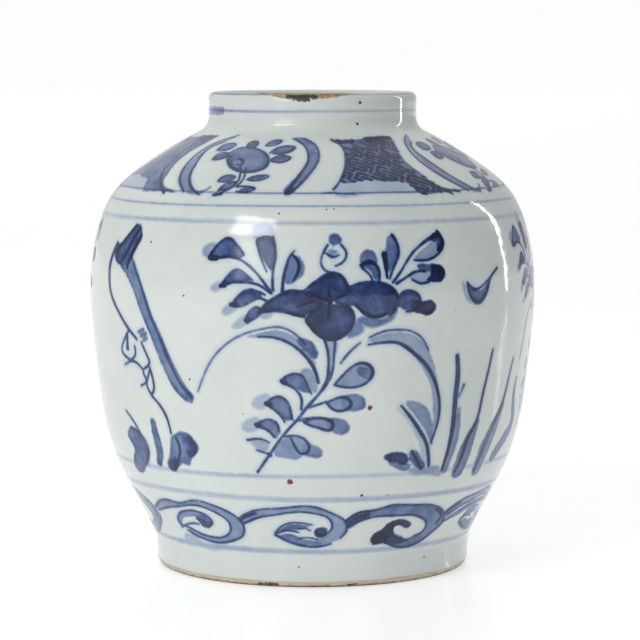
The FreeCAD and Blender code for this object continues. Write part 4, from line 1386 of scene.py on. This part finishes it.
def closer_mesh_for_paint(piece):
    """Subdivides the faces that carry an edge of the brushwork, twice for lines."""
    for line_reach, wash_reach in mesh_reaches:
        fields = painted_fields(piece)
        near = ((np.abs(fields["line"][0]) < line_reach)
                | (np.abs(fields["wash"][0]) < wash_reach)
                | (np.abs(fields["tint"][0]) < wash_reach))
        mesh = piece.data
        corners, starts = face_corners(mesh)
        chosen = np.add.reduceat(near[corners].astype(int), starts) > 0
        bpy.context.view_layer.objects.active = piece
        bpy.ops.object.mode_set(mode="EDIT")
        bpy.ops.mesh.select_mode(type="FACE")
        bpy.ops.mesh.select_all(action="DESELECT")
        bpy.ops.object.mode_set(mode="OBJECT")
        mesh.polygons.foreach_set("select", chosen)
        bpy.ops.object.mode_set(mode="EDIT")
        bpy.ops.mesh.subdivide(number_cuts=1)
        bpy.ops.object.mode_set(mode="OBJECT")


def set_on_wall(piece):
    """Puts the new places of the outer face exactly on the turned surface."""
    places = coordinates(piece)
    outside = chart_of(places)[0]
    radius = np.hypot(places[:, 0], places[:, 1])
    grow = np.where(outside, radius_out(places[:, 2]) / np.maximum(radius, 1e-6), 1)
    places[:, :2] *= grow[:, None]
    set_coordinates(piece, places)


def keep_paint(piece):
    """Stores the layers of paint on the piece's places."""
    fields = painted_fields(piece)
    for layer in layers:
        for ending, values in zip(("edge", "load"), fields[layer]):
            field = piece.data.attributes.new(layer + "_" + ending, "FLOAT", "POINT")
            field.data.foreach_set("value", values)


# The flat layout: the gap round it, the height of a strip of the outer face, where the
# front's strip and the rest start, and how tall the rest is
layout_gap = 0.004
strip_height, front_strip, rest_start, rest_height = 0.41, 0.43, 0.86, 0.135
rest_slack = 1.03
outline_step, batch, pole_radius = 0.4, 4000, 0.05


def unroll(piece, outline):
    """Lays the piece out flat: each half of the outer face is a strip, and the
    rest of the outline is a third one."""
    places = coordinates(piece)
    radius = np.hypot(places[:, 0], places[:, 1])
    angles = np.arctan2(places[:, 0], -places[:, 1])
    fine = respaced(outline, outline_step)
    along = lengths_along(fine)
    nearest = np.concatenate([
        np.hypot(radius[i:i + batch, None] - fine[:, 0],
                 places[i:i + batch, 2, None] - fine[:, 1]).argmin(axis=1)
        for i in range(0, len(places), batch)])
    run = along[nearest]
    mesh = piece.data
    corners, starts = face_corners(mesh)
    counts = np.diff(np.append(starts, len(corners)))

    def over_face(values, how):
        """One value for each face, repeated at its corners."""
        return np.repeat(how.reduceat(values, starts), counts)

    middle = np.arctan2(over_face(places[corners, 0], np.add),
                        -over_face(places[corners, 1], np.add))
    turn = (angles[corners] - middle + math.pi) % full_turn - math.pi
    turn = middle + np.where(radius[corners] < pole_radius, 0, turn)
    v = run[corners]
    wrapped = over_face(v, np.maximum) - over_face(v, np.minimum) > along[-1] / 2
    v = np.where(wrapped & (v < along[-1] / 2), v + along[-1], v)
    outside = chart_of(places)[0][corners]
    outer = over_face(outside.astype(int), np.minimum) > 0
    low, high = v[outer].min(), v[outer].max()
    share = (v - low) / (high - low)
    front = middle >= 0
    u = np.where(outer, (turn + np.where(front, 0, math.pi)) / math.pi,
                 (turn + math.pi) / full_turn)
    rest = (v - along[0]) / (along[-1] * rest_slack)
    v = np.where(outer, share * strip_height + np.where(front, front_strip, layout_gap),
                 rest_start + rest * rest_height)
    layer = mesh.uv_layers.new(name="OFBake")
    u = layout_gap + u * (1 - 2 * layout_gap)
    layer.data.foreach_set("uv", np.column_stack([u, v]).ravel())


# Edges sharper than this many degrees stay crisp
sharpest_smooth = 32

for name, piece in turned.items():
    closer_mesh_for_paint(piece)
    set_on_wall(piece)
    keep_paint(piece)
    unroll(piece, outlines[name])
    bpy.ops.object.select_all(action="DESELECT")
    piece.select_set(True)
    bpy.context.view_layer.objects.active = piece
    bpy.ops.object.shade_smooth_by_angle(angle=math.radians(sharpest_smooth))
    piece.data.materials.append(finish_materials[finish_slots[name]])


# ---------------------------------------------------------------- floor, light, camera

sensor_width = 36.0
nearest_seen, furthest_seen = 0.05, 60
floor_size = 24.0
floor_grey, floor_gloss, floor_shine, floor_glow = 0.6, 0.3, 0.35, 0.535

camera_data = bpy.data.cameras.new("photo_camera")
camera = bpy.data.objects.new("photo_camera", camera_data)
bpy.context.scene.collection.objects.link(camera)
camera.location = (0, -camera_back * MM, camera_height * MM)
camera.rotation_euler = (math.pi / 2 - camera_dip, 0, 0)
camera_data.sensor_width = sensor_width
camera_data.lens = camera_focus * sensor_width / photo_width
camera_data.shift_x = (photo_width / 2 - jar_axis_across) / photo_width
camera_data.clip_start, camera_data.clip_end = nearest_seen, furthest_seen
bpy.context.scene.camera = camera
bpy.context.scene.view_settings.view_transform = "Standard"

bpy.ops.mesh.primitive_plane_add(size=floor_size, location=(0, 0, 0))
floor = bpy.context.object
floor.name = "studio_floor"
table = bpy.data.materials.new("white_table")
table.use_nodes = True
shader = table.node_tree.nodes["Principled BSDF"]
for name, value in (("Base Color", (floor_grey, floor_grey, floor_grey, 1)),
                    ("Roughness", floor_gloss), ("Specular IOR Level", floor_shine),
                    ("Emission Color", (1, 1, 1, 1)), ("Emission Strength", floor_glow)):
    shader.inputs[name].default_value = value
floor.data.materials.append(table)


def seen_in(pixel, distance):
    """Where a light stands whose reflection shows at a place in the photograph."""
    angle, length = on_wall([pixel])[0]
    place = place_on_face(angle, length)
    slope = radius_out(place[2] + 0.5) - radius_out(place[2] - 0.5)
    normal = np.array([math.sin(angle), -math.cos(angle), -slope])
    normal /= np.linalg.norm(normal)
    sight = place - (0, -camera_back, camera_height)
    sight /= np.linalg.norm(sight)
    mirrored = sight - 2 * sight.dot(normal) * normal
    return place * MM, (place + mirrored * distance) * MM


def soft_light(name, place, aim, size, power, colour=(1, 1, 1), fade=0.28):
    """A softbox whose light fades towards the edges of its cloth."""
    data = bpy.data.lights.new(name, "AREA")
    data.shape = "RECTANGLE"
    data.size, data.size_y = size
    data.energy = power
    data.color = colour
    data.use_nodes = True
    tree = data.node_tree
    across = place_node(tree, "ShaderNodeNewGeometry").outputs["Parametric"]
    across = place_node(tree, "ShaderNodeSeparateXYZ", {0: across}).outputs
    shares = [maths(tree, "SUBTRACT", 0.5, maths(tree, "ABSOLUTE",
                    maths(tree, "SUBTRACT", across[axis], 0.5))) for axis in ("X", "Y")]
    fading = maths(tree, "MULTIPLY", eased(tree, shares[0], 0.0, fade),
                   eased(tree, shares[1], 0.0, fade))
    tree.links.new(fading, tree.nodes["Emission"].inputs["Strength"])
    lamp = bpy.data.objects.new(name, data)
    bpy.context.scene.collection.objects.link(lamp)
    lamp.location = place
    towards = Vector(aim) - Vector(place)
    lamp.rotation_euler = towards.to_track_quat("-Z", "Y").to_euler()


# Two lights stand where their reflections are seen in the photograph, this far off in
# millimetres. Sizes and places are in metres and powers in watts.
softbox_seen_at, softbox_distance = (253, 225), 1250.0
strip_seen_at, strip_distance, strip_height_up = (505.5, 262), 1100.0, 0.42

spot, place = seen_in(softbox_seen_at, softbox_distance)
soft_light("upper_left_softbox", place, spot, size=(0.66, 0.5), power=9.6,
           colour=(1.0, 0.99, 0.97))
spot, place = seen_in(strip_seen_at, strip_distance)
soft_light("right_strip", (place[0], place[1], strip_height_up), (0, 0, 0.12),
           size=(0.055, 0.85), power=1.8, fade=0.1)
soft_light("front_fill", (-0.9, -1.6, 0.6), (0, 0, 0.1), size=(0.9, 0.9), power=7.6)

# The studio: a white sweep behind the jar, and a dimmer room on the camera's side
room_light, sweep_light, backdrop_light = 0.23, 0.46, 0.975
# Brighter overhead, and dimmer far to the right and far to the left
room_changes = (("Z", 0.1, 0.9, 0.33), ("X", -0.1, 0.9, -0.3), ("X", -0.4, -0.95, -0.2))

world = bpy.data.worlds.new("white_studio")
bpy.context.scene.world = world
world.use_nodes = True
tree = world.node_tree
ray = place_node(tree, "ShaderNodeTexCoord").outputs["Generated"]
ray = place_node(tree, "ShaderNodeSeparateXYZ", {0: ray}).outputs
behind = eased(tree, ray["Y"], -0.25, 0.75)
room = maths(tree, "MULTIPLY_ADD", behind, sweep_light, room_light)
for axis, start, end, change in room_changes:
    room = maths(tree, "MULTIPLY_ADD", eased(tree, ray[axis], start, end), change, room)
seen = place_node(tree, "ShaderNodeLightPath").outputs["Is Camera Ray"]
strength = place_node(tree, "ShaderNodeMix", {0: seen, 2: room, 3: backdrop_light}).outputs[0]
tree.links.new(strength, tree.nodes["Background"].inputs["Strength"])
tree.nodes["Background"].inputs["Color"].default_value = (1, 1, 1, 1)


# ---------------------------------------------------------------- hand over

for node_name, piece in turned.items():
    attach(piece, "root")
    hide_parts(node_name)
